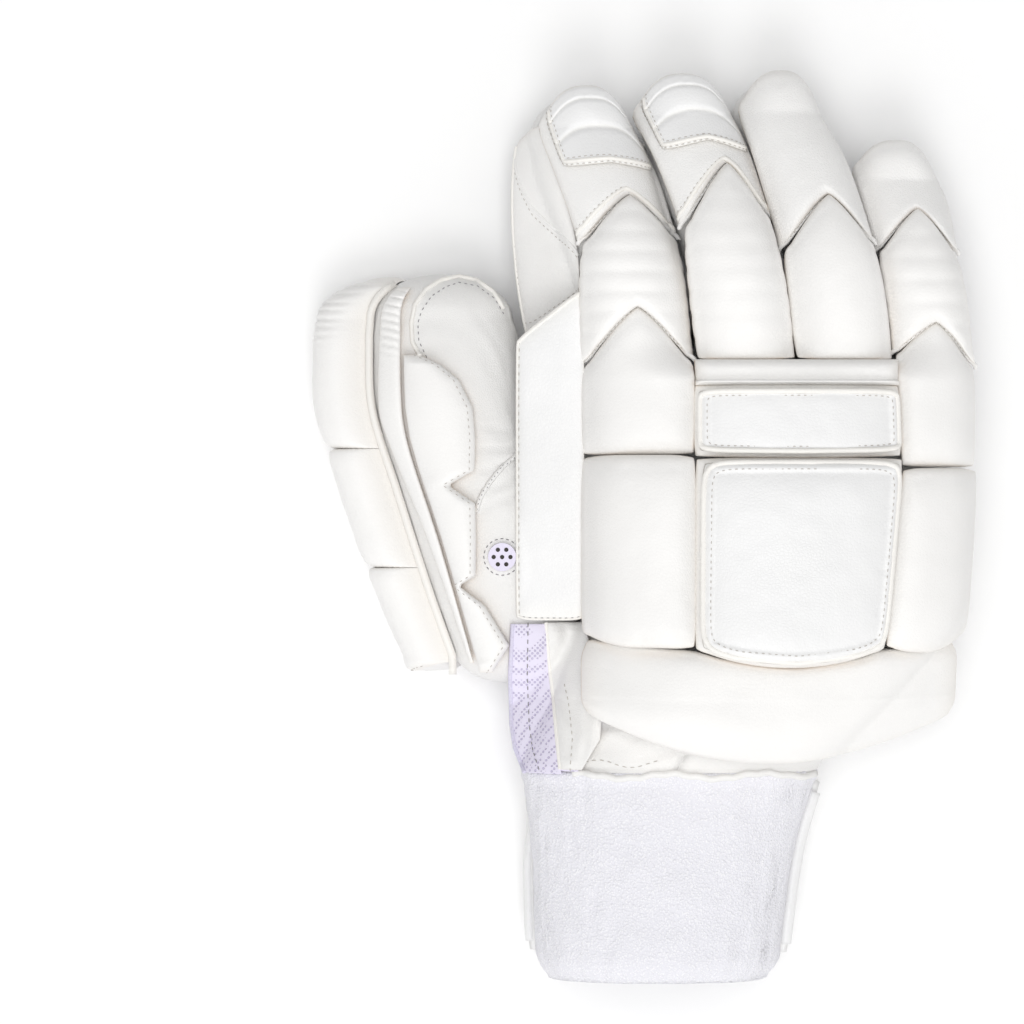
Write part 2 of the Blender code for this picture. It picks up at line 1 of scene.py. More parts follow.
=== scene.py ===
# %% [markdown]
# A cricket batting glove for the right hand, lying palm down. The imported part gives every
# piece its place and size. This lesson dresses each piece: the padded rolls are made again on
# finer grids from the same few sizes, then they get seams, stitches, gathers and leather.

# %% Load the frame
import math
import bmesh
import bpy
from mathutils import Matrix, Vector, noise
from mathutils.bvhtree import BVHTree


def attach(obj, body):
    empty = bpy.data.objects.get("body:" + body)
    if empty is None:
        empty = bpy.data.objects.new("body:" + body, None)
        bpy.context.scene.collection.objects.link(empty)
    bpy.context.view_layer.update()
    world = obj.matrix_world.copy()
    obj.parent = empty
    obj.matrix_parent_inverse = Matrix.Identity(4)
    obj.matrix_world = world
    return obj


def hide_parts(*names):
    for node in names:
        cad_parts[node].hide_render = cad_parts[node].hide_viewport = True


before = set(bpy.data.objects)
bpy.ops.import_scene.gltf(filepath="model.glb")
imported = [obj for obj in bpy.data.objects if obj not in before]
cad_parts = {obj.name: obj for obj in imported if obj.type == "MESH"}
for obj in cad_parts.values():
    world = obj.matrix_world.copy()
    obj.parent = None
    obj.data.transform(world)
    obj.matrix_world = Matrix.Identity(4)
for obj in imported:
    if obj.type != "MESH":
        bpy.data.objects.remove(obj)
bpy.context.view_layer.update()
MM = 0.001

# %% [markdown]
# Sizes come first, in millimetres, read from above: y runs from the wrist to the finger tips.
# A hand, a finger and a cuff are each a soft tube, so a row gives its centre, half width and
# half height, and everything between two rows is blended.

# %% Sizes of the shells
SHIFT = (-0.15, 0.23)
CLEAR, SEAM, LEATHER, TERRY, STRAP_THICK = 0.5, 0.45, 1.8, 2.6, 2.6
CUFF_FLOOR, HAND_FLOOR = 3.1, 4.2
SECTION, DROOP, EDGE_SHARE = 2.35, 0.55, 0.985
HAND = ((-56.0, 25.5, 28.0, 53.0, 25.0), (-30.0, 40.5, 26.5, 60.0, 23.5),
        (10.0, 43.5, 25.0, 62.5, 22.0), (44.0, 44.0, 24.0, 63.0, 20.5))
WRIST = ((-81.4, 9.0, 29.0, 48.0, 26.5), (-68.0, 16.5, 28.5, 50.0, 25.8),
         (-56.9, 25.0, 28.0, 52.8, 25.0))
CUFF = ((-149.7, 4.3, 28.5, 39.9, 27.0), (-130.0, 5.0, 28.5, 41.0, 27.0),
        (-105.0, 6.5, 28.5, 43.5, 27.0), (-83.2, 8.5, 28.5, 48.3, 27.0))
THUMB = ((-44.0, -43.0, 20.0, 20.0, 15.0), (-20.0, -46.0, 21.5, 25.8, 17.5),
         (10.0, -54.5, 21.0, 27.0, 18.0), (38.0, -63.5, 20.0, 26.5, 17.5),
         (60.0, -66.0, 18.5, 25.0, 16.5), (68.0, -67.0, 17.5, 23.5, 16.0))
STALLS = {
    "index": ((46.2, -3.0, 25.0, 15.3, 12.5), (80.0, -7.0, 26.0, 15.0, 12.5),
              (112.0, -17.0, 19.0, 16.5, 12.5), (130.0, -21.5, 13.0, 16.0, 12.0)),
    "middle": ((46.2, 32.0, 25.0, 15.0, 12.5), (80.0, 29.5, 28.0, 14.5, 12.5),
               (115.0, 18.5, 20.0, 14.5, 12.5), (134.0, 12.5, 13.0, 14.0, 12.0)),
    "ring": ((46.2, 64.5, 25.0, 14.5, 12.5), (80.0, 62.0, 28.0, 14.0, 12.5),
             (115.0, 52.0, 20.0, 13.5, 12.5), (135.0, 42.5, 13.0, 13.0, 12.0)),
    "little": ((46.2, 93.8, 24.0, 12.3, 11.5), (75.0, 92.5, 25.0, 12.5, 11.5),
               (98.0, 87.0, 19.0, 12.8, 11.5), (113.0, 82.0, 12.5, 12.4, 11.5)),
}
STALL_END = {"index": 142.5, "middle": 146.0, "ring": 147.0, "little": 124.5}
print("fingers:", ", ".join(STALLS))

# %% [markdown]
# The blend passes through each row with a smooth slope, as a bent lath would. The section is
# a superellipse: rounder than a box, fuller than an ellipse, and flat where it lies down.

# %% Shape helpers
def blend(rows, y):
    count, i = len(rows), 0
    while i < count - 2 and y > rows[i + 1][0]:
        i += 1
    low, high = rows[i], rows[i + 1]
    span = high[0] - low[0]
    t = min(1.0, max(0.0, (y - low[0]) / span))
    before, after = rows[max(i - 1, 0)], rows[min(i + 2, count - 1)]
    values, h = [], t * t * (3.0 - 2.0 * t)
    for k in range(1, len(low)):
        slope_a = (high[k] - before[k]) / (high[0] - before[0]) * span
        slope_b = (after[k] - low[k]) / (after[0] - low[0]) * span
        values.append(low[k] * (1.0 - h) + high[k] * h
                      + slope_a * t * (1.0 - t) ** 2 - slope_b * t * t * (1.0 - t))
    return values


def section(row, angle, floor, grow=0.0, scale=1.0):
    x, z, half_w, half_h = row
    c, s = math.cos(angle), math.sin(angle)
    px = x + (half_w * scale + grow) * math.copysign(abs(c) ** (2.0 / SECTION), c)
    pz = z + (half_h * scale + grow) * math.copysign(abs(s) ** (2.0 / SECTION), s)
    return px, max(pz, floor - grow)


def shell_top(rows, x, y, reach, side=1.0):
    """Height of a shell at (x, y), above with side 1 or below with side -1. Past its edge the
    height droops, so that a pad that reaches further still finds something to lie on."""
    cx, cz, half_w, half_h = blend(rows, y)
    edge = EDGE_SHARE * (half_w + reach)
    share = min(edge, abs(x - cx)) / (half_w + reach)
    droop = DROOP * max(0.0, abs(x - cx) - edge)
    return cz + side * (half_h * (1.0 - share ** SECTION) ** (1.0 / SECTION) - droop)


def fade(value, low, high):
    """0 below low, 1 above high, smooth between them."""
    t = min(1.0, max(0.0, (value - low) / (high - low)))
    return t * t * (3.0 - 2.0 * t)


def rough(x, y, size, seed=0.0):
    """Smooth chance between -1 and 1 that changes over about size millimetres."""
    return noise.noise(Vector((x / size, y / size, seed)))


print("hand's half width mm:", [round(blend(HAND, y)[2], 1) for y in (-50.0, 0.0, 40.0)])

# %% [markdown]
# White gloves live from small differences: padded leather is warm, the flat patches are cool,
# hide shows a grain, and every seam gets a little painted brown shade in its crease. Each of these
# is a node group that puts out a colour or a height, so that several leathers can share it with
# their own values.

# %% Node groups for grain and painted seam shade
NUMBER, COLOUR, WHITE = "NodeSocketFloat", "NodeSocketColor", (1.0, 1.0, 1.0, 1.0)


def set_values(shader, values):
    for key, value in values.items():
        shader.inputs[key].default_value = value


def node(tree, kind, links=(), values=None, **settings):
    fresh = tree.nodes.new(kind)
    for key, value in settings.items():
        setattr(fresh, key, value)
    set_values(fresh, values or {})
    for source, target in links:
        tree.links.new(source, fresh.inputs[target])
    return fresh


def object_place(tree):
    return node(tree, "ShaderNodeTexCoord").outputs["Object"]


def new_group(name, inputs, outputs):
    group = bpy.data.node_groups.new(name, "ShaderNodeTree")
    for kind, sockets in (("INPUT", inputs), ("OUTPUT", outputs)):
        for label, socket_type, value in sockets:
            socket = group.interface.new_socket(label, in_out=kind, socket_type=socket_type)
            if value is not None:
                socket.default_value = value
    return group, group.nodes.new("NodeGroupInput"), group.nodes.new("NodeGroupOutput")


grain, given, result = new_group(
    "leather_grain", (("Scale", NUMBER, 900.0), ("Wrinkle", NUMBER, 0.4)),
    (("Height", NUMBER, None), ("Mottle", NUMBER, None)))
where = object_place(grain)
cells = node(grain, "ShaderNodeTexVoronoi", [(where, "Vector"), (given.outputs[0], "Scale")],
             feature="DISTANCE_TO_EDGE")
pore = node(grain, "ShaderNodeMapRange", [(cells.outputs["Distance"], 0)], {2: 0.22})
wave = node(grain, "ShaderNodeTexNoise", [(where, "Vector")], {"Scale": 120.0, "Detail": 5.0})
waved = node(grain, "ShaderNodeMath", [(wave.outputs[0], 0), (given.outputs[1], 1)],
             operation="MULTIPLY")
both = node(grain, "ShaderNodeMath", [(pore.outputs[0], 0), (waved.outputs[0], 1)],
            operation="ADD")
grain.links.new(both.outputs[0], result.inputs[0])
blot = node(grain, "ShaderNodeTexNoise", [(where, "Vector")], {"Scale": 26.0, "Detail": 3.0})
grain.links.new(blot.outputs[0], result.inputs[1])

# Painted shade: near a seam or in a fold the leather is tinted cream, then brown at the deepest,
# as the shade that falls into the crease.
seam_shade_tint, given, result = new_group(
    "seam_shade_tint", (("Leather", COLOUR, WHITE), ("Cream_shade", COLOUR, WHITE), ("Seam", COLOUR, WHITE),
                  ("Mottle", NUMBER, 0.5)), (("Color", COLOUR, None),))
rim = node(seam_shade_tint, "ShaderNodeAttribute", attribute_name="seam_shade").outputs["Fac"]
near = node(seam_shade_tint, "ShaderNodeMapRange", [(rim, 0)], {1: 0.35, 2: 0.95})
deep = node(seam_shade_tint, "ShaderNodeMapRange", [(rim, 0)], {1: 0.86, 2: 1.0})
cream_shade = node(seam_shade_tint, "ShaderNodeMix", [(near.outputs[0], 0), (given.outputs[0], 6),
                                          (given.outputs[1], 7)], data_type="RGBA")
brown_shade = node(seam_shade_tint, "ShaderNodeMix", [(deep.outputs[0], 0), (cream_shade.outputs[2], 6),
                                          (given.outputs[2], 7)], data_type="RGBA")
spots = node(seam_shade_tint, "ShaderNodeMapRange", [(given.outputs[3], 0)],
             {1: 0.3, 2: 0.7, 3: 0.96, 4: 1.0})
worn = node(seam_shade_tint, "ShaderNodeMix", [(brown_shade.outputs[2], 6), (spots.outputs[0], 7)],
            {0: 1.0}, data_type="RGBA", blend_type="MULTIPLY")
seam_shade_tint.links.new(worn.outputs[2], result.inputs[0])
print("node groups:", grain.name, seam_shade_tint.name)

# %% [markdown]
# Each leather is these two groups with its own values: its colour, the painted cream shade that
# its folds take near a seam, the painted brown shade in the seam itself, and how rough and how
# grained it is. The pads are smooth, the patches cooler, and the hide of the hand and the finger
# tips has a coarse grain.

# %% Leathers
def new_material(name, values):
    mat = bpy.data.materials.new(name)
    mat.use_nodes = True
    bsdf = mat.node_tree.nodes["Principled BSDF"]
    set_values(bsdf, values)
    return mat, mat.node_tree, bsdf


def connect(tree, bsdf, colour, height, strength, depth):
    """Plugs in a colour, and a height through a bump of this strength and depth in metres."""
    tree.links.new(colour, bsdf.inputs["Base Color"])
    relief = node(tree, "ShaderNodeBump", [(height, "Height")],
                  {"Strength": strength, "Distance": depth})
    tree.links.new(relief.outputs["Normal"], bsdf.inputs["Normal"])


def leather(name, colour, cream_shade, seam_shade, roughness, bump, scale=900.0, wrinkle=0.4):
    mat, tree, bsdf = new_material(name, {"Roughness": roughness})
    skin = node(tree, "ShaderNodeGroup", node_tree=grain)
    set_values(skin, {"Scale": scale, "Wrinkle": wrinkle})
    tint = node(tree, "ShaderNodeGroup", [], node_tree=seam_shade_tint)
    tree.links.new(skin.outputs["Mottle"], tint.inputs["Mottle"])
    set_values(tint, {"Leather": (*colour, 1.0), "Cream_shade": (*cream_shade, 1.0), "Seam": (*seam_shade, 1.0)})
    connect(tree, bsdf, tint.outputs["Color"], skin.outputs["Height"], bump, 0.0003)
    return mat


# The third and fourth colours of each leather are painted shade: cream near a seam, brown in its
# crease.
pad_leather = leather("pad_leather", (0.925, 0.915, 0.90), (0.92, 0.885, 0.835),
                      (0.66, 0.50, 0.35), 0.46, 0.18)
patch_leather = leather("patch_leather", (0.885, 0.884, 0.883), (0.93, 0.92, 0.89),
                        (0.74, 0.70, 0.63), 0.4, 0.2)
tip_leather = leather("tip_leather", (0.915, 0.907, 0.895), (0.91, 0.885, 0.845),
                      (0.66, 0.50, 0.35), 0.5, 0.32, 1100.0, 0.9)
hide_leather = leather("hide_leather", (0.88, 0.872, 0.858), (0.82, 0.80, 0.77),
                       (0.60, 0.54, 0.47), 0.55, 0.28, 1300.0, 0.8)
CREAM_LEATHER = (0.93, 0.91, 0.87)
binding = leather("binding_leather", CREAM_LEATHER, CREAM_LEATHER, CREAM_LEATHER, 0.45, 0.2)
print("leathers:", [mat.name for mat in bpy.data.materials if "leather" in mat.name])

# %% [markdown]
# The cuff is towelling: short cotton loops that catch the light in tiny crumbs. Fine cells taken
# from a rough noise give the crumbs, the low pile between them is painted a darker lavender as
# its shade, and the tint is a faint lavender. Real fur strands would show the loops too, but they
# are heavy and are lost in an export. The gusset and the windows are spacer mesh, a net of round
# holes, each painted darker as the shade inside it.

# %% Towelling, mesh and thread
PILE_DEPTH = 0.0004


def towelling():
    mat, tree, bsdf = new_material("towelling", {"Roughness": 0.95, "Sheen Weight": 0.3,
                                                 "Specular IOR Level": 0.2})
    where = object_place(tree)
    loops = node(tree, "ShaderNodeTexVoronoi", [(where, "Vector")], {"Scale": 1300.0})
    crumbs = node(tree, "ShaderNodeTexNoise", [(where, "Vector")],
                  {"Scale": 900.0, "Detail": 6.0, "Roughness": 0.7})
    height = node(tree, "ShaderNodeMath", [(crumbs.outputs[0], 0), (loops.outputs[0], 1)],
                  operation="SUBTRACT").outputs[0]
    # Painted shade: the low pile between the loops is coloured darker lavender, the high pile near
    # white.
    shade = node(tree, "ShaderNodeValToRGB", [(height, 0)])
    low, high = shade.color_ramp.elements
    low.position, low.color = 0.0, (0.84, 0.835, 0.885, 1.0)
    high.position, high.color = 0.42, (0.965, 0.96, 0.985, 1.0)
    connect(tree, bsdf, shade.outputs[0], height, 0.8, PILE_DEPTH)
    return mat


def netting(name, light, dark, scale, hole):
    mat, tree, bsdf = new_material(name, {"Roughness": 0.85})
    turned = node(tree, "ShaderNodeMapping", [(object_place(tree), "Vector")],
                  {"Rotation": (0.0, 0.0, math.radians(45.0)), "Scale": (1.0, 1.0, 0.6)})
    holes = node(tree, "ShaderNodeTexVoronoi", [(turned.outputs[0], "Vector")],
                 {"Scale": scale, "Randomness": 0.0})
    mask = node(tree, "ShaderNodeMapRange", [(holes.outputs[0], 0)],
                {1: hole, 2: hole + 0.1}).outputs[0]
    # Painted shade: each hole gets the dark colour, as the shade inside it.
    colour = node(tree, "ShaderNodeMix", [(mask, 0)], {6: (*dark, 1.0), 7: (*light, 1.0)},
                  data_type="RGBA")
    connect(tree, bsdf, colour.outputs[2], mask, 0.8, PILE_DEPTH)
    return mat


def plain(name, colour, roughness):
    """One colour with a fine fleck, for thread, edging and the painted shade inside a hole."""
    mat, tree, bsdf = new_material(name, {"Roughness": roughness})
    twist = node(tree, "ShaderNodeTexNoise", [(object_place(tree), "Vector")],
                 {"Scale": 1500.0})
    tone = node(tree, "ShaderNodeMapRange", [(twist.outputs[0], 0)], {3: 0.8, 4: 1.1})
    fleck = node(tree, "ShaderNodeMix", [(tone.outputs[0], 7)], {0: 1.0, 6: (*colour, 1.0)},
                 data_type="RGBA", blend_type="MULTIPLY")
    tree.links.new(fleck.outputs[2], bsdf.inputs["Base Color"])
    return mat


towel = towelling()
gusset_net = netting("gusset_net", (0.80, 0.76, 0.90), (0.60, 0.55, 0.74), 800.0, 0.26)
window_net = netting("window_net", (0.86, 0.85, 0.90), (0.60, 0.58, 0.70), 190.0, 0.30)
thread = plain("sewing_thread", (0.60, 0.57, 0.53), 0.8)
grey_thread = plain("grey_thread", (0.30, 0.29, 0.30), 0.8)
lilac_edge = plain("lilac_edging", (0.72, 0.69, 0.84), 0.95)
# Painted shade: near black, for the inside of the holes.
hole_shade = plain("painted_hole_shade", (0.05, 0.045, 0.04), 0.9)
print("materials:", len(bpy.data.materials))

# %% [markdown]
# Every padded piece is two sheets of leather sewn together at the rim. Two flat grids are
# carried to the upper and the lower side and welded where they meet. Each point remembers how
# near it is to the seam, and the leather reads that to paint shade into the crease there.

# %% Tools that make a piece
made = {}


def new_sheet():
    """An empty mesh whose points carry a share of painted shade, highest close to a sewn rim."""
    bm = bmesh.new()
    return bm, bm.verts.layers.float.new("seam_shade")


def add_object(name, data):
    obj = bpy.data.objects.new(name, data)
    bpy.context.scene.collection.objects.link(obj)
    return obj


def finish_piece(bm, name, material, nodes=(), wall=0.0, smooth=True, weld=0.00001):
    bmesh.ops.remove_doubles(bm, verts=bm.verts, dist=weld)
    for vert in bm.verts:
        vert.co.x += SHIFT[0] * MM
        vert.co.y += SHIFT[1] * MM
    for face in bm.faces:
        face.smooth = smooth
    mesh = bpy.data.meshes.new(name)
    bm.to_mesh(mesh)
    bm.free()
    obj = add_object(name, mesh)
    mesh.materials.append(material)
    if wall:
        solid = obj.modifiers.new("wall", "SOLIDIFY")
        solid.thickness, solid.offset = wall * MM, -1.0
    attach(obj, "root")
    if nodes:
        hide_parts(*nodes)
    made[name] = obj
    return obj


def carry(bm, columns, lines, place, layer):
    grid = bmesh.ops.create_grid(bm, x_segments=columns, y_segments=lines, size=1.0)
    for vert in grid["verts"]:
        # The fourth value of a place is its painted seam shade.
        x, y, z, seam_shade = place(vert.co.x, vert.co.y)
        vert.co = (x * MM, y * MM, z * MM)
        vert[layer] = seam_shade


def pillow(name, columns, lines, under, over, material, nodes=None):
    bm, layer = new_sheet()
    carry(bm, columns, lines, over, layer)
    upper = set(bm.verts)
    carry(bm, columns, lines, under, layer)
    bmesh.ops.reverse_faces(bm, faces=[f for f in bm.faces if f.verts[0] not in upper])
    return finish_piece(bm, name + "_cover", material, [name] if nodes is None else nodes)


print("tools for pieces ready, clearance mm:", CLEAR)

# %% [markdown]
# A pad is cut between two hems and filled, so it is highest in its middle and its wall bulges
# over the seam. It could be a cloth simulation. Here the fill is a formula instead, because the
# crown, the dents and the small pulled wrinkles can then be set for each pad by itself.

# %% Hems
TOUCH = 0.05


def spread(value):
    """Crowds grid lines toward both ends, where a pad turns down to its sewn rim."""
    return math.sin(value * math.pi / 2.0)


# How near a grid point lies to the rim; pieces paint their seam shade by it.
def nearness(a, b):
    return max(abs(a), abs(b)) ** 2.5


def hem_point(hem, u):
    """A hem is six numbers, ends, middle and bend, or a row of (x, y) points."""
    if len(hem) != 6:
        x = hem[0][0] + (hem[-1][0] - hem[0][0]) * (u + 1.0) / 2.0
        return x, blend(hem, x)[0]
    left_x, right_x, left_y, mid_y, right_y, bend = hem
    side_y = left_y if u < 0 else right_y
    return (left_x + (right_x - left_x) * (u + 1.0) / 2.0,
            mid_y + (side_y - mid_y) * abs(u) ** bend)


def hem_mean(hem):
    if len(hem) != 6:
        return sum(y for _, y in hem) / len(hem)
    return (hem[3] + (hem[2] + hem[4]) / 2.0) / 2.0


print("middle of a hem mm:", hem_mean((-20.8, 15.0, 48.7, 70.4, 50.7, 1.25)))

# %% [markdown]
# Between its hems a pad has a lower and an upper side. The crown is the share of its thickness
# that a point has: nothing at the rim, all of it in the middle. Noise adds the dents of the
# filling, and close to the seams the small wrinkles that the thread pulls.

# %% Pads
def side_swell(value, width):
    """Outward push of a pad's side wall, strongest a little inside the rim."""
    s = min(1.0, max(0.0, (abs(value) - 0.86) / 0.14))
    return math.copysign(width * math.sin(math.pi * s), value)


def pad(low, high, base, thick, rim, corner=0.06, flat=2.4, side=0.0, ribs=None, swell=0.5,
        dents=0.35, square=0.4, foot=0.6, head=0.6, high_seam=0.42, free="",
        pulls=0.45, wing=0.0):
    """Upper and lower side of a pad between two hem lines. ribs is (first y, pitch, depth).
    high_seam lifts the rim where another pad stands against it, and free names the sides with
    no neighbour, from l, r, t and b, where the rim stays low. wing widens the lower end."""
    mean0, mean1 = hem_mean(low), hem_mean(high)

    def rim_at(u, v):
        share = 1.0
        for key, toward in (("l", -u), ("r", u), ("t", v), ("b", -v)):
            if key in free:
                share *= 1.0 - fade(toward, 0.2, 0.95)
        return rim + high_seam * (thick - rim) * share

    def plan(u, v):
        across = u * (1.0 - corner * abs(v) ** 6)
        along = v * (1.0 - corner * abs(u) ** 6)
        x0, y0 = hem_point(low, across)
        x1, y1 = hem_point(high, across)
        t = (along + 1.0) / 2.0
        y = (mean0 + TOUCH) * (1.0 - t) + (mean1 - TOUCH) * t
        y += (y0 - mean0) * (1.0 - t) ** 2 + (y1 - mean1) * t ** 2
        flare = side * (1.0 - v * v) + wing * max(0.0, -v) ** 5 + SEAM - TOUCH
        return x0 + (x1 - x0) * t + across * flare, y

    def crown(u, v):
        end = flat + (foot if v < 0.0 else head)
        return (max(0.0, 1.0 - abs(u) ** flat) * max(0.0, 1.0 - abs(v) ** end)) ** square

    def over(a, b):
        u, v = spread(a), spread(b)
        x, y = plan(u, v)
        full = crown(u, v)
        if ribs:
            wave = 0.5 + 0.5 * math.cos(2.0 * math.pi * (y - ribs[0]) / ribs[1])
            full *= 1.0 - ribs[2] * wave ** 2 * (1.0 - u ** 6)
            x -= u * 0.2 * wave ** 2
        edge = rim_at(u, v)
        z = base(x, y) + CLEAR + edge + (thick - edge) * full
        z += dents * full * (rough(x, y, 17.0, thick) + 0.5 * rough(x, y, 6.0, thick + 5.0))
        close = fade(max(abs(u), abs(v)), 0.72, 0.97) * full
        z -= pulls * close * max(0.0, rough(x * 1.5, y * 1.5, 4.0, thick + 9.0)) * 2.0
        # The last value is painted seam shade, rising toward the pad's rim.
        return (x + side_swell(u, swell), y + side_swell(v, swell), z, nearness(a, b))

    def under(a, b):
        u, v = spread(a), spread(b)
        x, y = plan(u, v)
        full = crown(u, v)
        z = base(x, y) + CLEAR + rim_at(u, v) * (1.0 - min(1.0, 1.5 * full))
        # The under side is painted with shade, except under the crown.
        return x, y, z, max(0.0, 1.0 - 5.0 * full)

    return under, over


print("a pad's wall swells mm:", round(side_swell(0.93, 0.5), 2))

# %% [markdown]
# Stitches follow a line on a finished surface, at an even pitch. Each one needs a place, the
# surface's normal and the direction of the seam. They are collected here and made together at
# the end, because one piece with many stitches is lighter than many pieces.

# %% Stitches
def on_surface(over, a, b):
    """Point and normal, in metres, of an upper side at grid share (a, b)."""
    e = 0.004
    here = Vector(over(a, b)[:3])
    along_a = Vector(over(min(1.0, a + e), b)[:3]) - Vector(over(max(-1.0, a - e), b)[:3])
    along_b = Vector(over(a, min(1.0, b + e))[:3]) - Vector(over(a, max(-1.0, b - e))[:3])
    normal = along_a.cross(along_b)
    if normal.length < 1e-9:
        normal = Vector((0.0, 0.0, 1.0))
    return here, normal.normalized()


def even(samples, pitch):
    """Samples (point, normal) taken again at an even pitch in millimetres."""
    out, left = [], 0.0
    for (p, n), (q, m) in zip(samples, samples[1:]):
        step = (q - p).length
        while left <= step and step > 0.0:
            t = left / step
            out.append((p.lerp(q, t), n.lerp(m, t).normalized(), (q - p).normalized()))
            left += pitch
        left -= step
    return out


seams = {"sewing": [], "grey": []}


def sew(samples, pitch=2.3, length=1.35, radius=0.2, lift=0.08, kind="sewing"):
    """Adds one line of stitches, kept for the thread piece that all lines share."""
    seams[kind].append([(point, normal, along, length, radius, lift)
                        for point, normal, along in even(samples, pitch)])


print("threads:", ", ".join(seams))

# %% [markdown]
# There are three ways to lay a line: straight legs on one piece, a loop round one piece, and a
# path seen from above that falls on several pieces.

# %% Lines on a piece
def trace(over, path, steps=30, side=1.0):
    """Samples on a piece along straight legs between (a, b) shares."""
    out = []
    for (a0, b0), (a1, b1) in zip(path, path[1:]):
        for i in range(steps + 1):
            t = i / steps
            point, normal = on_surface(over, a0 + (a1 - a0) * t, b0 + (b1 - b0) * t)
            out.append((point, normal * side))
    return out


def loop(over, reach_a, reach_b, corner=0.25, count=200, side=1.0):
    """Samples round a piece, a rounded rectangle in its shares."""
    out = []
    for i in range(count + 1):
        c, s = math.cos(2.0 * math.pi * i / count), math.sin(2.0 * math.pi * i / count)
        point, normal = on_surface(over, reach_a * math.copysign(abs(c) ** corner, c),
                                   reach_b * math.copysign(abs(s) ** corner, s))
        out.append((point, normal * side))
    return out


def drop(names, path, steps=12, above=True):
    """Samples where the plan path (x, y) falls on the named pieces, from above or below."""
    graph = bpy.context.evaluated_depsgraph_get()
    trees = [BVHTree.FromObject(made[name], graph) for name in names]
    height, down = (0.2, -1.0) if above else (-0.1, 1.0)
    out = []
    for (x0, y0), (x1, y1) in zip(path, path[1:]):
        for i in range(steps + 1):
            t = i / steps
            start = Vector(((x0 + (x1 - x0) * t + SHIFT[0]) * MM,
                            (y0 + (y1 - y0) * t + SHIFT[1]) * MM, height))
            best = None
            for tree in trees:
                hit, normal, _, far = tree.ray_cast(start, Vector((0.0, 0.0, down)))
                if hit and (best is None or far < best[2]):
                    best = (hit, normal, far)
            if best:
                out.append((best[0] / MM - Vector((*SHIFT, 0.0)), best[1]))
    return out


print("lines ready")

# %% [markdown]
# Piping is a cord sewn into a seam, of which the round top shows. A bevelled curve gives it in
# one step and is made a mesh at once. It is never let below the ground.

# %% Piping
LEAST_GAP = 0.1


def piping(name, samples, radius, material, closed=False, lift=0.0, sides=2):
    """A thin round welt along the samples."""
    curve = bpy.data.curves.new(name, "CURVE")
    curve.dimensions = "3D"
    curve.bevel_depth, curve.bevel_resolution, curve.use_fill_caps = radius * MM, sides, True
    line = curve.splines.new("POLY")
    line.points.add(len(samples) - 1)
    for knot, (point, normal) in zip(line.points, samples):
        spot = point + normal * lift
        knot.co = (spot.x * MM, spot.y * MM, max(spot.z, radius + LEAST_GAP) * MM, 1.0)
    line.use_cyclic_u = closed
    temp = add_object(name + "_line", curve)
    graph = bpy.context.evaluated_depsgraph_get()
    mesh = bpy.data.meshes.new_from_object(temp.evaluated_get(graph))
    bm = bmesh.new()
    bm.from_mesh(mesh)
    bpy.data.objects.remove(temp)
    return finish_piece(bm, name, material, weld=0.000001)


print("piping clears the ground by mm:", LEAST_GAP)

# %% [markdown]
# The shells are tubes. They could be lofted or spun, but one grid wrapped round, with a ring for
# every station along y, needs no joining, and Solidify gives it a wall. Details such as creases
# are a small push in or out, worked out where they belong, so the wall keeps its thickness.

# %% Shell maker
def shell(name, rows, stations, floor, wall, material, sides, detail, hole=None):
    bm, layer = new_sheet()
    last = len(stations) - 1

    def place(a, b):
        y, share = stations[round((b + 1.0) / 2.0 * last)]
        angle = -a * math.pi - math.pi / 2.0
        x, z = section(blend(rows, y), angle, floor, 0.0, share)
        push, seam_shade = detail(x, y, z, angle)
        return x + push * math.cos(angle), y, max(0.05, z + push * math.sin(angle)), seam_shade

    carry(bm, sides, last, place, layer)
    if hole:
        gone = [f for f in bm.faces if hole(f.calc_center_median() / MM)]
        bmesh.ops.delete(bm, geom=gone, context="FACES")
    return finish_piece(bm, name + "_skin", material, [name], wall=wall, weld=0.00002)


def rings(start, end, count):
    return [(start + (end - start) * i / count, 1.0) for i in range(count + 1)]


def tip_rings(start, end, radius, count, turns=10):
    straight = end - radius
    out = rings(start, straight, count)
    for i in range(1, turns + 1):
        angle = math.pi / 2.0 * i / turns
        out.append((straight + radius * math.sin(angle), max(0.0, math.cos(angle))))
    return out


print("hand rings:", len(rings(HAND[0][0], HAND[-1][0], 50)))

# %% [markdown]
# The glove's leather body comes first: hand, finger stalls and thumb. From above it shows only
# between the pads, at the finger tips and beside the thumb, but the whole palm is made of it, so
# it gets its creases here: across the palm, round the finger joints and below the thumb.

# %% Hand
THUMB_HOLE = (-18.0, 15.0, 24.0, 9.5)
HOLE_RIM = 2.4


def groove(value, centre, width):
    return math.exp(-((value - centre) / width) ** 2)


def hand_detail(x, y, z, angle):
    """A wrinkled hide, and below it the palm's creases: life line, two cross creases, heel."""
    push = 0.35 * rough(x, y, 22.0, z) + 0.2 * rough(x, y, 9.0, z + 3.0)
    if math.sin(angle) < -0.2:
        life = 26.0 - 0.011 * (y - 8.0) ** 2 + 8.0
        push -= 0.7 * groove(x, life - 14.0, 1.3) * fade(y, -40.0, -20.0) * fade(-y, -42.0, -26.0)
        push -= 0.7 * groove(y, 12.0 + 0.10 * (x - 40.0), 1.1) * fade(x, 18.0, 30.0)
        push -= 0.6 * groove(y, 27.0 - 0.08 * (x - 60.0), 1.1) * fade(-x, -92.0, -80.0)
        push -= 0.5 * groove(y, -13.5, 0.9) * fade(x, 36.0, 46.0)
    return push, 0.0


HAND_END = HAND[-1][0]
hand_rings = rings(HAND[0][0], HAND_END, 50)
hand_rings += [(HAND_END + 1.2, 0.94), (HAND_END + 1.6, 0.80), (HAND_END + 1.7, 0.0)]


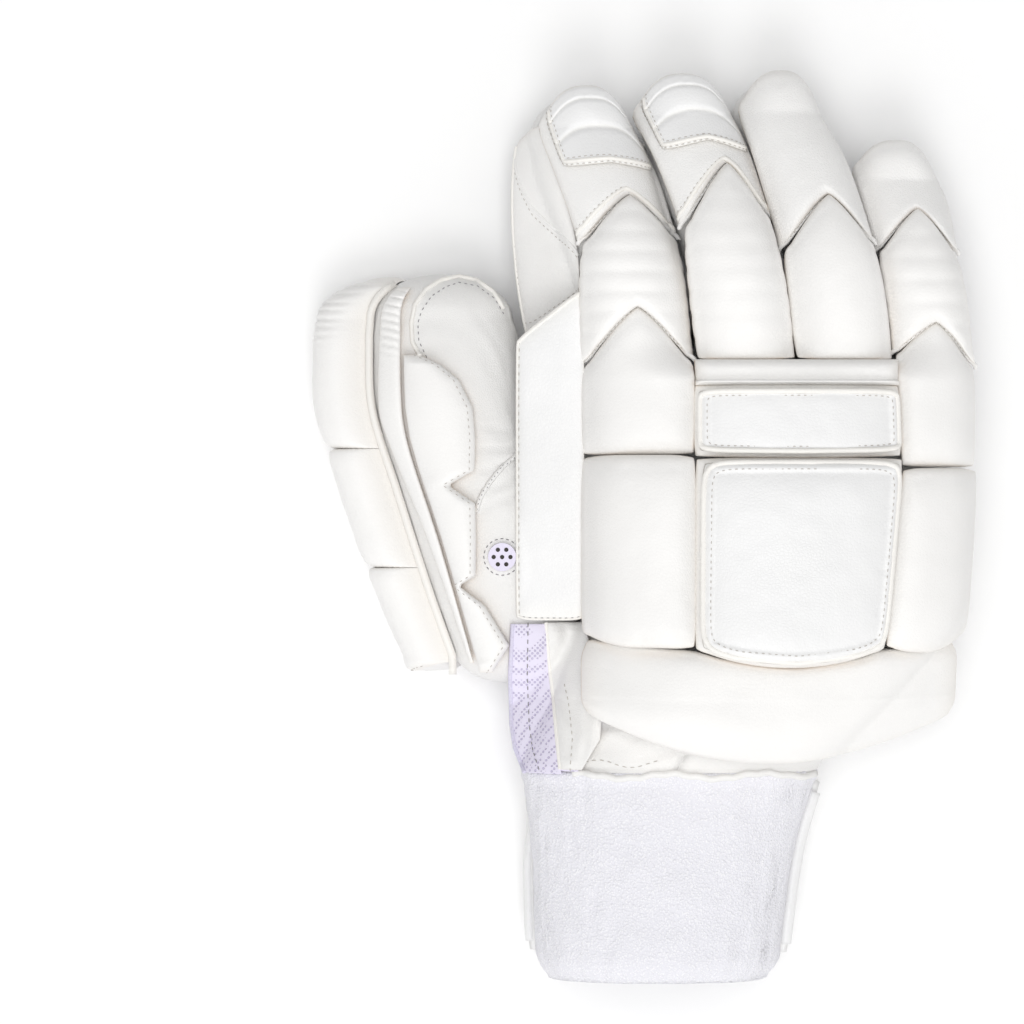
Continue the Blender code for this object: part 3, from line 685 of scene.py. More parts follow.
def thumb_opening(c):
    mid_y, half_y, mid_z, half_z = THUMB_HOLE
    return ((c.y - mid_y) / half_y) ** 2 + ((c.z - mid_z) / half_z) ** 2 < 1.0


def finger_holes(c):
    if c.y <= HAND_END - 0.5:
        return c.x < 0.0 and thumb_opening(c)
    return any(((c.x - x) / (half_w - HOLE_RIM)) ** 2
               + ((c.z - z) / (half_h - HOLE_RIM)) ** 2 < 1.0
               for (_, x, z, half_w, half_h), *_ in STALLS.values())


shell("hand_shell", HAND, hand_rings, HAND_FLOOR, LEATHER, hide_leather, 104, hand_detail,
      finger_holes)
print("hand:", len(made["hand_shell_skin"].data.polygons), "faces")

# %% [markdown]
# A finger stall is a closed tube with a round tip. Its palm side folds at the two joints, in
# three creases each, and the leather of the tip is drawn together in gathers round its end.

# %% Finger stalls
TIP_ROUND, THUMB_ROUND = 12.5, 15.0
JOINTS = {"index": (62.0, 96.0), "middle": (64.0, 101.0), "ring": (64.0, 101.0),
          "little": (60.0, 86.0)}


def stall_detail(finger):
    end = STALL_END[finger] - TIP_ROUND

    def detail(x, y, z, angle):
        push = 0.3 * rough(x + 40.0, y, 8.0, z)
        if math.sin(angle) < 0.3:
            for joint in JOINTS[finger]:
                for k, depth in ((-2.6, 0.45), (0.0, 0.8), (2.6, 0.45)):
                    push -= depth * groove(y, joint + k, 0.8)
        gather = 0.5 + 0.5 * math.cos(angle * 30.0 + 0.6 * rough(x, y, 5.0))
        push -= 0.55 * gather * fade(y, end - 9.0, end + 3.0)
        # The second value is painted shade in the hollows of the tip gathers.
        return push, 0.35 * gather * fade(y, end - 4.0, end + 4.0)
    return detail


for finger, rows in STALLS.items():
    shell(finger + "_stall", rows, tip_rings(rows[0][0], STALL_END[finger], TIP_ROUND, 56), 0.0,
          LEATHER, hide_leather, 84, stall_detail(finger))
print("stalls:", len(STALLS))

# %% [markdown]
# The thumb is one more stall, wider and laid aslant. Its foot closes in a few steep rings over
# the ball of the thumb, and its inner side is open to the hand.

# %% Thumb
def thumb_detail(x, y, z, angle):
    """Crease folds on the back of the thumb, where it bends, and joint creases below."""
    push = 0.4 * rough(x, y, 15.0, z)
    if math.sin(angle) > 0.0:
        for at, slope, depth in ((8.0, 0.35, 0.8), (13.5, 0.28, 1.0), (19.0, 0.15, 0.9),
                                 (25.0, 0.0, 0.7), (31.0, -0.1, 0.5)):
            line = y - at - slope * (x + 45.0) - 1.2 * rough(x, y, 7.0, at)
            push -= depth * groove(line, 0.0, 0.75) * fade(-x, 30.0, 36.0) * fade(x, -60.0, -50.0)
    else:
        for at in (30.0, 33.0, 36.0):
            push -= 0.7 * groove(y, at, 0.8) * fade(-x, 46.0, 54.0)
    return push, 0.0


THUMB_FOOT, THUMB_END = -53.0, 83.0
FOOT_RINGS = ((0.0, 0.0), (0.2, 0.2), (0.5, 0.34), (1.2, 0.5), (2.2, 0.62), (3.6, 0.75),
              (5.5, 0.86), (7.5, 0.95))
thumb_rings = [(THUMB_FOOT + rise, share) for rise, share in FOOT_RINGS]
thumb_rings += tip_rings(THUMB[0][0], THUMB_END, THUMB_ROUND, 80)


def thumb_hole(c):
    return c.x > THUMB[1][1] and thumb_opening(c)


shell("thumb_stall", THUMB, thumb_rings, 0.0, LEATHER, hide_leather, 96, thumb_detail,
      thumb_hole)
print("shells:", len(made))

# %% [markdown]
# The wrist leather gathers into soft folds between two shallow grooves, where it is sewn, and
# the towelling cuff ends in a folded hem. Towelling is soft, so its tube is a little lumpy.

# %% Wrist leather and cuff
def wrist_detail(x, y, z, angle):
    t = (y - WRIST[0][0]) / (WRIST[-1][0] - WRIST[0][0])
    fold = rough(angle * 9.0, y * 0.4, 2.2) + 0.6 * rough(angle * 26.0, y * 0.5, 2.0, 4.0)
    middle = math.sin(math.pi * t)
    push = 0.9 * fold * middle - 0.5 * groove(y, -79.4, 0.7) - 0.4 * groove(y, -66.5, 0.7)
    # The second value is painted shade in the hollows of the folds.
    return push, 0.4 * max(0.0, -fold) * middle


shell("wrist_skirt", WRIST, rings(WRIST[0][0], WRIST[-1][0], 32), HAND_FLOOR, LEATHER,
      hide_leather, 132, wrist_detail)


def cuff_detail(x, y, z, angle):
    push = 0.8 * rough(x, y, 16.0, z) + 0.45 * rough(x, y, 5.0, z) + 0.3 * fade(y, -84.6, -83.4)
    hem = fade(-y, 139.0, 146.0)
    turned_in = min(1.0, max(0.0, (-y - 137.0) / 12.0)) ** 3
    push += 0.3 * hem - 0.2 * groove(y, -138.5, 1.6) - 4.5 * turned_in
    return push - 0.25 * groove(y, -86.0, 1.3), 0.0


shell("cuff", CUFF, rings(CUFF[0][0], CUFF[-1][0] + 2.2, 52), CUFF_FLOOR, TERRY, towel, 132,
      cuff_detail)
print("wrist and cuff rows:", len(WRIST), len(CUFF))

# %% [markdown]
# Each finger carries sausage-like rolls. A roll's lower edge is an inverted V whose two wings
# reach past the roll below, and its face swells between the seams. One table gives the hems of
# each finger from the hand to the tip, and the other says which hems each roll lies between.

# %% Finger rolls
HEMS = {
    "index": ((-20.5, 15.0, 22.3, 22.3, 22.3, 2.0), (-20.8, 15.0, 48.7, 70.4, 50.7, 1.25),
              (-20.5, 10.0, 90.0, 107.4, 92.0, 1.25), (-35.0, -3.5, 130.0, 144.8, 127.0, 2.6)),
    "middle": ((16.9, 48.4, 53.0, 53.2, 53.4, 2.0), (12.6, 40.6, 94.5, 118.0, 98.0, 1.25),
               (-4.0, 29.0, 134.0, 148.7, 132.5, 2.6)),
    "ring": ((49.2, 79.9, 53.4, 53.2, 53.0, 2.0), (45.0, 74.0, 87.1, 107.3, 89.5, 1.25),
             (31.0, 60.0, 136.0, 149.7, 128.0, 2.6)),
    "little": ((82.8, 107.3, 18.4, 18.4, 18.4, 2.0), (81.2, 107.3, 54.0, 65.4, 49.5, 1.25),
               (76.3, 102.0, 87.1, 103.3, 87.1, 1.25), (69.0, 98.0, 116.0, 126.8, 109.0, 2.6)),
}
ROLLS = (
    ("index_base_roll", "index", 0, 21.0, 6.0, 0.2, None),
    ("index_mid_roll", "index", 1, 20.0, 6.0, 0.8, (62.0, 6.6, 0.06)),
    ("index_tip_roll", "index", 2, 14.0, 5.0, 1.0, None),
    ("middle_roll", "middle", 0, 20.0, 6.0, 0.7, (60.0, 7.6, 0.03)),
    ("middle_tip_roll", "middle", 1, 14.0, 5.0, 0.5, None),
    ("ring_roll", "ring", 0, 20.0, 6.0, 0.5, None),
    ("ring_tip_roll", "ring", 1, 16.0, 5.0, 0.6, None),
    ("little_base_roll", "little", 0, 19.0, 6.0, 0.2, None),
    ("little_mid_roll", "little", 1, 18.0, 6.0, 0.4, (57.0, 7.4, 0.05)),
    ("little_tip_roll", "little", 2, 14.0, 5.0, 0.6, None),
)
tops = {}
for name, finger, k, thick, rim_z, side, ribs in ROLLS:
    rows = STALLS[finger]

    def base(x, y, rows=rows):
        hand_z = shell_top(HAND, x, min(y, HAND_END), 6.0)
        stall_z = shell_top(rows, x, max(y, rows[0][0]), 4.5)
        near = fade(y, rows[0][0], rows[0][0] + 14.0)
        return hand_z * (1.0 - near) + max(stall_z, 2.0) * near

    last = k == len(HEMS[finger]) - 2
    free = ("t" if last else "") + {"index": "l", "little": "r"}.get(finger, "")
    under, over = pad(HEMS[finger][k], HEMS[finger][k + 1], base, thick, rim_z, 0.03, 2.3, side,
                      ribs, square=0.48, foot=7.0 if k else 2.0, head=1.4,
                      high_seam=0.45 if last else 0.56, free=free, wing=1.3 if k else 0.0)
    tops[name] = over
    pillow(name, 46, 66, under, over, tip_leather if "tip" in name else pad_leather)
print("rolls:", len(tops))

# %% [markdown]
# The back of the hand has a bar and a pad over the knuckles, three long pads and a curved roll
# over the wrist. They are flatter than the finger rolls, with square shoulders at the seams.

# %% Back pads
PADS = (
    ("knuckle_bar", (15.9, 81.0, 44.6, 44.6, 44.6, 2.0), (15.9, 81.0, 53.3, 53.3, 53.3, 2.0),
     24.6, 5.0, 0.0, 16.0),
    ("knuckle_pad", (15.5, 81.8, 21.6, 21.0, 21.8, 2.0), (15.5, 81.0, 44.9, 44.9, 44.9, 2.0),
     22.0, 7.0, 0.02, 3.0),
    ("back_pad_index", (-20.8, 15.1, -36.0, -39.9, -40.7, 2.0),
     (-20.8, 15.3, 22.3, 22.3, 22.3, 2.0), 25.5, 9.0, 0.042, 2.5),
    ("back_pad_centre", (15.2, 76.0, -40.4, -46.3, -40.4, 2.0),
     (15.6, 82.2, 21.3, 21.3, 21.3, 2.0), 26.0, 9.0, 0.02, 3.4),
    ("back_pad_little", (76.6, 105.0, -39.9, -41.8, -35.0, 2.0),
     (82.4, 108.4, 18.0, 18.0, 18.0, 2.0), 23.5, 9.0, 0.042, 2.4),
    ("wrist_roll", (-20.8, 102.5, -60.6, -77.6, -62.6, 2.0),
     ((-20.8, -36.4), (-8.0, -38.2), (6.0, -40.0), (15.2, -40.9), (24.0, -43.3), (45.5, -46.2),
      (67.0, -43.3), (76.2, -40.4), (90.0, -40.9), (98.0, -38.4), (102.5, -36.6)),
     21.0, 7.0, 0.055, 2.5),
)
BAR = dict(foot=-13.6, head=-13.4, square=0.36, high_seam=0.62, swell=0.0)
PAD_FORMS = {
    "knuckle_bar": BAR,
    "back_pad_index": dict(free="l"), "back_pad_little": dict(free="r"),
    "wrist_roll": dict(free="lrb", foot=0.2, head=4.0, high_seam=0.55),
}
STALL_TOP = STALLS["middle"][0][2] + STALLS["middle"][0][4] + 0.6


def back_base(x, y):
    if y > STALLS["middle"][0][0]:
        return STALL_TOP
    rows = WRIST if y < WRIST[-1][0] else HAND
    if WRIST[-1][0] <= y < HAND[0][0]:
        y = HAND[0][0]
    return shell_top(rows, x, min(y, HAND_END), 3.0)


for name, low, high, thick, rim_z, corner, flat in PADS:
    form = dict(foot=3.0, head=2.0, high_seam=0.60, square=0.45)
    form.update(PAD_FORMS.get(name, {}))
    under, over = pad(low, high, back_base, thick, rim_z, corner, flat, **form)
    tops[name] = over
    columns = 54 if name in ("back_pad_index", "back_pad_little") else 84
    pillow(name, columns, 24 if name == "knuckle_bar" else 60, under, over, pad_leather)
print("pads:", len(tops))

# %% [markdown]
# Plates and patches are thin pieces laid on a pad's crown. A plate asks the pad for its surface
# and stands a little above it, so it follows every swell. Its own rim is rolled over.

# %% Plates and patches
PLATE_CLEAR, PATCH_THICK, PLATE_RIM = 0.75, 1.8, 0.35


def plate(host, u0, u1, v0, v1, thick, relief, dip=0.0):
    """Under and upper side of a plate that covers these shares of its host's crown."""
    def at(a, b):
        u, v = a * (1.0 - 0.05 * abs(b) ** 6), b * (1.0 - 0.05 * abs(a) ** 6)
        low = v0 + dip * (1.0 - abs(u) ** 1.3)
        x, y, z, _ = host(u0 + (u1 - u0) * (u + 1.0) / 2.0, low + (v1 - low) * (v + 1.0) / 2.0)
        inside = min(1.0, 7.0 * (1.0 - abs(a))) * min(1.0, 7.0 * (1.0 - abs(b)))
        return x, y, z + PLATE_CLEAR, spread(inside)

    def over(a, b):
        x, y, z, inside = at(a, b)
        push, seam_shade = relief(a, b)
        z += thick * (PLATE_RIM + (1.0 - PLATE_RIM) * inside) + push * inside
        # The last value is painted shade: the relief's own, and more toward the plate's rim.
        return x, y, z, max(seam_shade, nearness(a, b) ** 3)

    def under(a, b):
        x, y, z, inside = at(a, b)
        # The under side of a plate is painted fully in shade.
        return x, y, z + thick * PLATE_RIM * (1.0 - inside), 1.0

    return under, over


def cap_relief(a, b):
    """Three panels of a finger cap, parted by two curved seams."""
    low_seam = b + 0.42 - 0.30 * (1.0 - a * a)
    high_seam = b - 0.38 - 0.18 * (1.0 - a * a)
    cut = max(groove(low_seam, 0.0, 0.075), groove(high_seam, 0.0, 0.06))
    # The second value is painted shade in the two seam grooves.
    return -0.75 * cut + 0.3 * (1.0 - a * a), 0.75 * cut


def patch_relief(a, b):
    """A raised border of leather round a sunken field."""
    near = max(abs(a), abs(b))
    border = fade(near, 0.80, 0.87)
    # The second value is a thin line of painted shade along the step of the raised border.
    return 0.55 * border - 0.35 * (1.0 - border), 0.5 * groove(near, 0.83, 0.02)


CAP, CAP_DIP = (-0.66, 0.72, 0.02, 0.80), -0.17
PLATES = (
    ("index_cap_plate", "index_tip_roll", CAP, cap_relief, CAP_DIP, 60, 60),
    ("middle_cap_plate", "middle_tip_roll", CAP, cap_relief, CAP_DIP, 60, 60),
    ("knuckle_patch", "knuckle_pad", (-0.80, 0.84, -0.66, 0.66), patch_relief, 0.0, 84, 44),
    ("back_patch", "back_pad_centre", (-0.76, 0.84, -0.80, 0.80), patch_relief, 0.0, 84, 84),
)
for name, host, shares, relief, dip, columns, lines in PLATES:
    under, over = plate(tops[host], *shares, PATCH_THICK, relief, dip)
    tops[name] = over
    pillow(name, columns, lines, under, over, patch_leather)
print("plates:", len(PLATES))

# %% [markdown]
# A fat roll guards the outer side of the thumb, sewn in three lengths. It stands out sideways,
# so it is shaped round the thumb: one direction turns about the thumb, the other follows y.
# The long tip roll is gathered where it closes round the thumb's tip.

# %% Thumb rolls and welt
WELT = ((-50.0, -58.5, -55.0), (-6.0, -73.5, -67.5), (25.0, -86.0, -77.5), (38.0, -90.0, -79.8),
        (76.0, -89.0, -80.5))
WELT_RADIUS, WELT_TURN, ROLL_TURNS, THUMB_RIM = 1.3, 157.0, (161.0, 236.0), 4.5
PLEAT = 2.7


def tip_share(y):
    """How far the thumb's section has shrunk in its round tip, 1 before the tip."""
    into = max(0.0, y - (THUMB_END - THUMB_ROUND)) / THUMB_ROUND
    return max(0.25, 1.0 - min(1.0, into) ** 2) ** 0.5


THUMB_ROLLS = (
    ("thumb_base_roll", -49.5, 3.5, -14.6, 0.0, 14.5, 17.0, 0.0),
    ("thumb_mid_roll", -14.6, 0.0, 24.8, 0.0, 17.0, 17.5, 0.0),
    ("thumb_tip_roll", 24.8, 0.0, 82.5, 3.5, 17.5, 16.5, 1.0),
)


def thumb_roll(low_y, low_dip, high_y, high_dip, low_thick, high_thick, gathers):
    def at(a, b, outside):
        u, v = spread(a), spread(b)
        arch = max(0.0, 1.0 - abs(u) ** 2.2) ** 0.5
        crown = arch * max(0.0, 1.0 - abs(v) ** 9.0) ** 0.42
        low = low_y + TOUCH + low_dip * abs(u) ** 2
        high = high_y - TOUCH - high_dip * abs(u) ** 2
        y = low + (high - low) * (v + 1.0) / 2.0 + (side_swell(v, 0.4) if outside else 0.0)
        thick = low_thick + (high_thick - low_thick) * (v + 1.0) / 2.0
        foot = THUMB_RIM * (1.0 - 0.92 * fade(u, 0.0, 0.9))
        rim = foot + 0.84 * (thick - foot) * arch * (1.0 - gathers * fade(v, 0.3, 0.95))
        turn = ROLL_TURNS[0] + (ROLL_TURNS[1] - ROLL_TURNS[0]) * (1.0 - u) / 2.0
        if outside:
            grow = CLEAR + rim + (thick + 2.2 - rim) * crown
            grow += 0.35 * crown * (rough(turn * 0.9, y, 13.0) + 0.5 * rough(turn, y, 5.0))
            pleat = math.cos(2.0 * math.pi * (y + 0.03 * turn) / PLEAT
                             + 2.2 * rough(turn * 0.12, y, 5.0))
            where = fade(y, 56.0, 66.0) * fade(u, -0.5, 0.6) * fade(-u, -0.98, -0.8)
            grow -= gathers * 1.15 * where * max(0.0, pleat) ** 2
            crease = groove(rough(turn * 0.8, y * 0.6, 7.0, low_y), 0.1, 0.05)
            grow -= 0.35 * (1.0 - gathers) * crown * crease
        else:
            grow = CLEAR + rim * (1.0 - min(1.0, 1.5 * crown))
        x, z = section(blend(THUMB, y), math.radians(turn), -99.0, grow, tip_share(y))
        # The last value is painted shade toward the roll's rim, and on its under side away from
        # the crown.
        return x, y, max(z, 0.2), 0.8 * nearness(a, b) if outside else max(0.0, 0.8 - 4.0 * crown)

    return (lambda a, b: at(a, b, False)), (lambda a, b: at(a, b, True))


for name, *sizes in THUMB_ROLLS:
    under, over = thumb_roll(*sizes)
    tops[name] = over
    pillow(name, 52, 100 if name == "thumb_tip_roll" else 48, under, over, pad_leather)

welt_line = []
for i in range(61):
    y = WELT[0][0] + (WELT[-1][0] + 3.6 - WELT[0][0]) * i / 60
    x, z = section(blend(THUMB, y), math.radians(WELT_TURN), 0.0, CLEAR + WELT_RADIUS,
                   tip_share(y))
    welt_line.append((Vector((x, y, z)), Vector((0.0, 0.0, 1.0))))
welt = piping("thumb_welt_cord", welt_line, WELT_RADIUS, binding, sides=4)
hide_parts("thumb_welt")
print("thumb rolls:", len(THUMB_ROLLS))

# %% [markdown]
# Beside the welt runs a band of gathered leather, then a flat shaped pad with two notches. Both
# are strips: a left and a right edge for each y, and a rounded profile between them.

# %% Thumb band and side pad
def strip(edges, thick, rim_z, base, lift=CLEAR, palm=False, detail=None, round_power=2.6):
    """Lower and upper side of a flat piece between edges, on top of base or below it."""
    first, last = edges[0][0], edges[-1][0]

    def at(a, b):
        y = first + (last - first) * (spread(b) + 1.0) / 2.0
        left, right = between(edges, y)
        x = left + (right - left) * (spread(a) + 1.0) / 2.0
        ends = min(1.0, (1.0 - abs(spread(b))) * (last - first) / 6.0)
        return x, y, (max(0.0, 1.0 - abs(spread(a)) ** round_power) * ends) ** 0.5

    side = -1.0 if palm else 1.0

    def outer(a, b):
        x, y, full = at(a, b)
        push, seam_shade = detail(a, b, x, y) if detail else (0.0, 0.0)
        # The last value is painted shade: the detail's own, and more toward the strip's edges.
        return (x, y, base(x, y) + side * (lift + rim_z + (thick - rim_z) * full + push * full),
                max(seam_shade, nearness(a, b) ** 2))

    def inner(a, b):
        x, y, full = at(a, b)
        # The inner side of a strip is painted fully in shade.
        return x, y, base(x, y) + side * (lift + rim_z * (1.0 - min(1.0, 1.5 * full))), 1.0

    return (outer, inner) if palm else (inner, outer)


def between(edges, y):
    """Left and right edge at y, straight between the rows."""
    i = 0
    while i < len(edges) - 2 and y > edges[i + 1][0]:
        i += 1
    low, high = edges[i], edges[i + 1]
    t = min(1.0, max(0.0, (y - low[0]) / (high[0] - low[0])))
    return [low[k] + (high[k] - low[k]) * t for k in (1, 2)]


def thumb_top(x, y):
    return shell_top(THUMB, x, y, 1.2)


def tip_top(x, y):
    """Top of the thumb where its tip rounds off."""
    cx, cz, _, _ = blend(THUMB, y)
    share = tip_share(y)
    return cz + (shell_top(THUMB, cx + (x - cx) / share, y, 1.2) - cz) * share


BAND_GAP, BAND_Y = WELT_RADIUS + 1.0, (-46.0, 78.0)
band_edges = []
for i in range(51):
    y = BAND_Y[0] + (BAND_Y[1] - BAND_Y[0]) * i / 50
    welt_x, right_x = blend(WELT, y)
    middle = blend(THUMB, y)[0]
    band_edges.append((y, middle + (welt_x + BAND_GAP - middle) * tip_share(y),
                       middle + (right_x - middle) * tip_share(y)))


def band_detail(a, b, x, y):
    pleat = math.cos(2.0 * math.pi * (y + 0.25 * x) / PLEAT + 1.5 * rough(x, y, 9.0))
    full = fade(y, 52.0, 62.0)
    # The second value is painted shade in the bottoms of the pleats.
    return -0.9 * full * max(0.0, pleat) ** 2, 0.5 * full * max(0.0, pleat) ** 4


under, over = strip(band_edges, 3.2, 1.2, tip_top, detail=band_detail)
tops["thumb_gather_band"] = over
pillow("thumb_gather_band", 16, 220, under, over, pad_leather)

SIDE_PAD = ((-49.0, -50.0), (-40.0, -44.5), (-27.0, -52.5), (-20.5, -61.0), (-17.0, -55.5),
            (-5.0, -55.4), (6.5, -55.6), (12.5, -64.5), (17.5, -55.8), (28.0, -55.6),
            (38.0, -56.5), (47.0, -61.0), (52.0, -67.0), (55.5, -74.5))
side_edges = [(y, blend(WELT, y)[1] + 1.0, x) for y, x in SIDE_PAD]
under, over = strip(side_edges, 6.0, 2.0, thumb_top)
tops["thumb_side_pad"] = over
pillow("thumb_side_pad", 36, 150, under, over, pad_leather)

print("thumb band from", BAND_Y[0], "to", BAND_Y[1])

# %% [markdown]
# The vent is a round window of mesh in the thumb's leather, as big as a shirt button. A disc
# laid on top does the same as a cut hole, as nothing shows behind it.

# %% Vent
VENT_X, VENT_Y, VENT_RADIUS, VENT_THICK = -46.9, -11.0, 4.6, 1.0
bm = new_sheet()[0]
bmesh.ops.create_cone(bm, cap_ends=True, segments=48, radius1=VENT_RADIUS * MM,
                      radius2=VENT_RADIUS * MM, depth=VENT_THICK * MM)
vent_z = thumb_top(VENT_X, VENT_Y) + CLEAR + VENT_THICK / 2.0
bmesh.ops.translate(bm, verts=bm.verts, vec=(VENT_X * MM, VENT_Y * MM, vent_z * MM))
finish_piece(bm, "thumb_vent_disc", gusset_net, ["thumb_vent"], smooth=False)
print("pieces so far:", len(made))

# %% [markdown]
# A flap of leather lies over the cleft between thumb and index finger, and grained leather
# covers the index finger's side. The wrist has a mesh gusset on the thumb's side.

# %% Flap, side leather and gusset
FLAP = (-41.5, -20.4, 38.2, 41.2)


def flap_base(x, y):
    share = (x - FLAP[0]) / (FLAP[1] - FLAP[0])
    return max(FLAP[2] + (FLAP[3] - FLAP[2]) * share, thumb_top(x, y))


under, over = pad((*FLAP[:2], -31.3, -31.3, -31.3, 1.0), (*FLAP[:2], 60.0, 68.5, 77.0, 1.0),
                  flap_base, 3.2, 1.4, 0.02, 5.0, swell=0.0, dents=0.25, high_seam=0.0,
                  pulls=0.0)
tops["side_guard"] = over
pillow("side_guard", 24, 80, under, over, patch_leather)


def side_top(x, y):
    return shell_top(STALLS["index"], x, y, 1.6)


under, over = pad((-38.6, -21.2, 61.5, 69.0, 76.0, 1.0),
                  (-42.0, -33.0, 127.0, 131.0, 133.0, 1.0), side_top, 3.4, 1.4, 0.04, 3.0, 2.5,
                  swell=0.0, dents=0.6, high_seam=0.0, pulls=0.2)
tops["index_side_panel"] = over
pillow("index_side_panel", 30, 60, under, over, hide_leather)

GUSSET_Y, GUSSET_TURN = (-80.6, -57.6), (126.0, 214.0)


def gusset(a, b, outside):
    u, v = spread(a), spread(b)
    full = (max(0.0, 1.0 - abs(u) ** 3) * max(0.0, 1.0 - abs(v) ** 4)) ** 0.5
    y = GUSSET_Y[0] + (GUSSET_Y[1] - GUSSET_Y[0]) * (v + 1.0) / 2.0
    turn = GUSSET_TURN[0] + (GUSSET_TURN[1] - GUSSET_TURN[0]) * (1.0 - u) / 2.0
    grow = PLATE_CLEAR + (1.0 + 1.8 * full if outside else 1.0 - min(1.0, 1.5 * full))
    x, z = section(blend(WRIST, y), math.radians(turn), 0.0, grow)
    return x, y, z, 1.0


pillow("side_gusset", 48, 36, lambda a, b: gusset(a, b, False), lambda a, b: gusset(a, b, True),
       gusset_net)
print("flap and gusset done")

# %% [markdown]
# Below, the strap is one band of leather that follows the cuff, flat where the glove rests on
# it. The heel has a quilted patch: padded leather stitched through in a diamond net. The thumb's
# palm side has a long window of mesh.

# %% Strap, heel quilt and palm window
STRAP_Y, STRAP_TURN = (-144.0, -84.6), (-156.0, -8.0)


def strap_place(a, b):
    y = STRAP_Y[0] + (STRAP_Y[1] - STRAP_Y[0]) * (b * (1.0 - 0.05 * abs(a) ** 6) + 1.0) / 2.0
    share = (1.0 - a * (1.0 - 0.03 * abs(b) ** 6)) / 2.0
    angle = math.radians(STRAP_TURN[0] + (STRAP_TURN[1] - STRAP_TURN[0]) * share)
    x, z = section(blend(CUFF, y), angle, CUFF_FLOOR, STRAP_THICK + CLEAR)
    flare = 0.4 * fade(-a, 0.72, 1.0) - 2.6 * fade(a, 0.86, 1.0) * fade(-y, 96.0, 116.0)
    # The last value is painted shade toward the strap's edges.
    return x + flare, y, z, 0.45 * max(abs(a) ** 3, abs(b) ** 3)


bm, layer = new_sheet()
carry(bm, 84, 36, strap_place, layer)
finish_piece(bm, "strap_band", patch_leather, ["strap"], wall=STRAP_THICK)

QUILT_PITCH = 8.5
HEEL = ((-53.0, 36.0, 82.0), (-46.0, 34.5, 84.5), (-34.0, 36.0, 86.0), (-24.0, 43.0, 86.0),
        (-15.0, 52.0, 84.0))


def quilt(a, b, x, y):
    """Diamonds: deep where one of the two slanting lines of the net runs."""
    near = max(abs((slant / QUILT_PITCH) % 1.0 - 0.5) * 2.0 for slant in (x + y, x - y))
    # The second value is painted shade along the quilting grooves.
    return -0.8 * fade(near, 0.72, 1.0), 0.6 * fade(near, 0.9, 1.0)


def palm_below(x, y):
    return max(HAND_FLOOR, shell_top(HAND, x, y, 0.0, -1.0))


under, over = strip(HEEL, 2.0, 0.8, palm_below, CLEAR, True, quilt, 6.0)
tops["heel_quilt"] = under
pillow("heel_quilt", 90, 74, under, over, hide_leather)
WINDOW = ((-9.0, -57.0, -49.0), (-3.0, -62.0, -44.5), (8.0, -66.0, -43.5), (22.0, -70.0, -47.0),
          (36.0, -72.0, -53.5), (48.0, -70.5, -59.0), (55.0, -68.0, -62.5))


def thumb_below(x, y):
    return shell_top(THUMB, x, y, 3.0, -1.0)


under, over = strip(WINDOW, 1.4, 0.6, thumb_below, CLEAR, True)
tops["thumb_palm_mesh"] = under
pillow("thumb_palm_mesh", 26, 80, under, over, window_net)
print("pieces:", len(made))

# %% [markdown]
# Each finger roll ends in a folded lip that is sewn down over the roll below. The stitches show
# best near the point of the V. The two cap plates have a stitched band on two sides.

# %% Seams of the fingers
def sew_on(name, path, steps, *look, **more):
    sew(trace(tops[name], path, steps), *look, **more)


def pipe_on(label, name, path, steps, radius, material, **more):
    piping(label, trace(tops[name], path, steps), radius, material, **more)


for name in ("index_mid_roll", "index_tip_roll", "middle_tip_roll", "ring_tip_roll",
             "little_mid_roll", "little_tip_roll"):
    sew_on(name, [(-0.56, -0.90), (0.56, -0.90)], 30, 1.9, 0.9, 0.17)
    pipe_on(name + "_lip", name, [(-0.93, -0.955), (0.93, -0.955)], 90, 0.8, tip_leather,
            lift=-0.15)
    sew_on(name, [(-0.03, -0.93), (-0.03, -0.80)], 6, 1.5, 1.0, 0.17)
    sew_on(name, [(0.05, -0.93), (0.05, -0.82)], 6, 1.5, 1.0, 0.17)
FOLD = [(a / 10.0, -0.60 - 0.10 * (a / 10.0) ** 2) for a in range(-9, 10)]
for finger in ("index", "middle"):
    cap, tip = finger + "_cap_plate", finger + "_tip_roll"
    sew_on(cap, [(-1.0, 0.98), (-0.98, -0.95), (0.98, -0.95)], 50, 2.0, 1.2, 0.18, 0.25)
    sew_on(cap, [(-0.86, 0.95), (-0.86, -0.80), (0.95, -0.80)], 50, 2.0, 1.2, 0.18)
    pipe_on(finger + "_cap_welt", cap, [(-0.93, 0.96), (-0.93, -0.88), (0.96, -0.88)], 40, 0.75,
            binding, lift=-0.25)
    pipe_on(finger + "_tip_fold", tip, FOLD, 4, 0.9, binding, lift=-0.55)
    sew_on(tip, [(a, b + 0.05) for a, b in FOLD], 4, 1.9, 1.0, 0.17)
print("finger seams:", sum(len(line) for line in seams["sewing"]), "stitches")

# %% [markdown]
# The patches on the knuckles and the back are let in: a cream welt runs round each, with a row of
# small stitches inside it. The flap and the index side leather are sewn down round their edge.

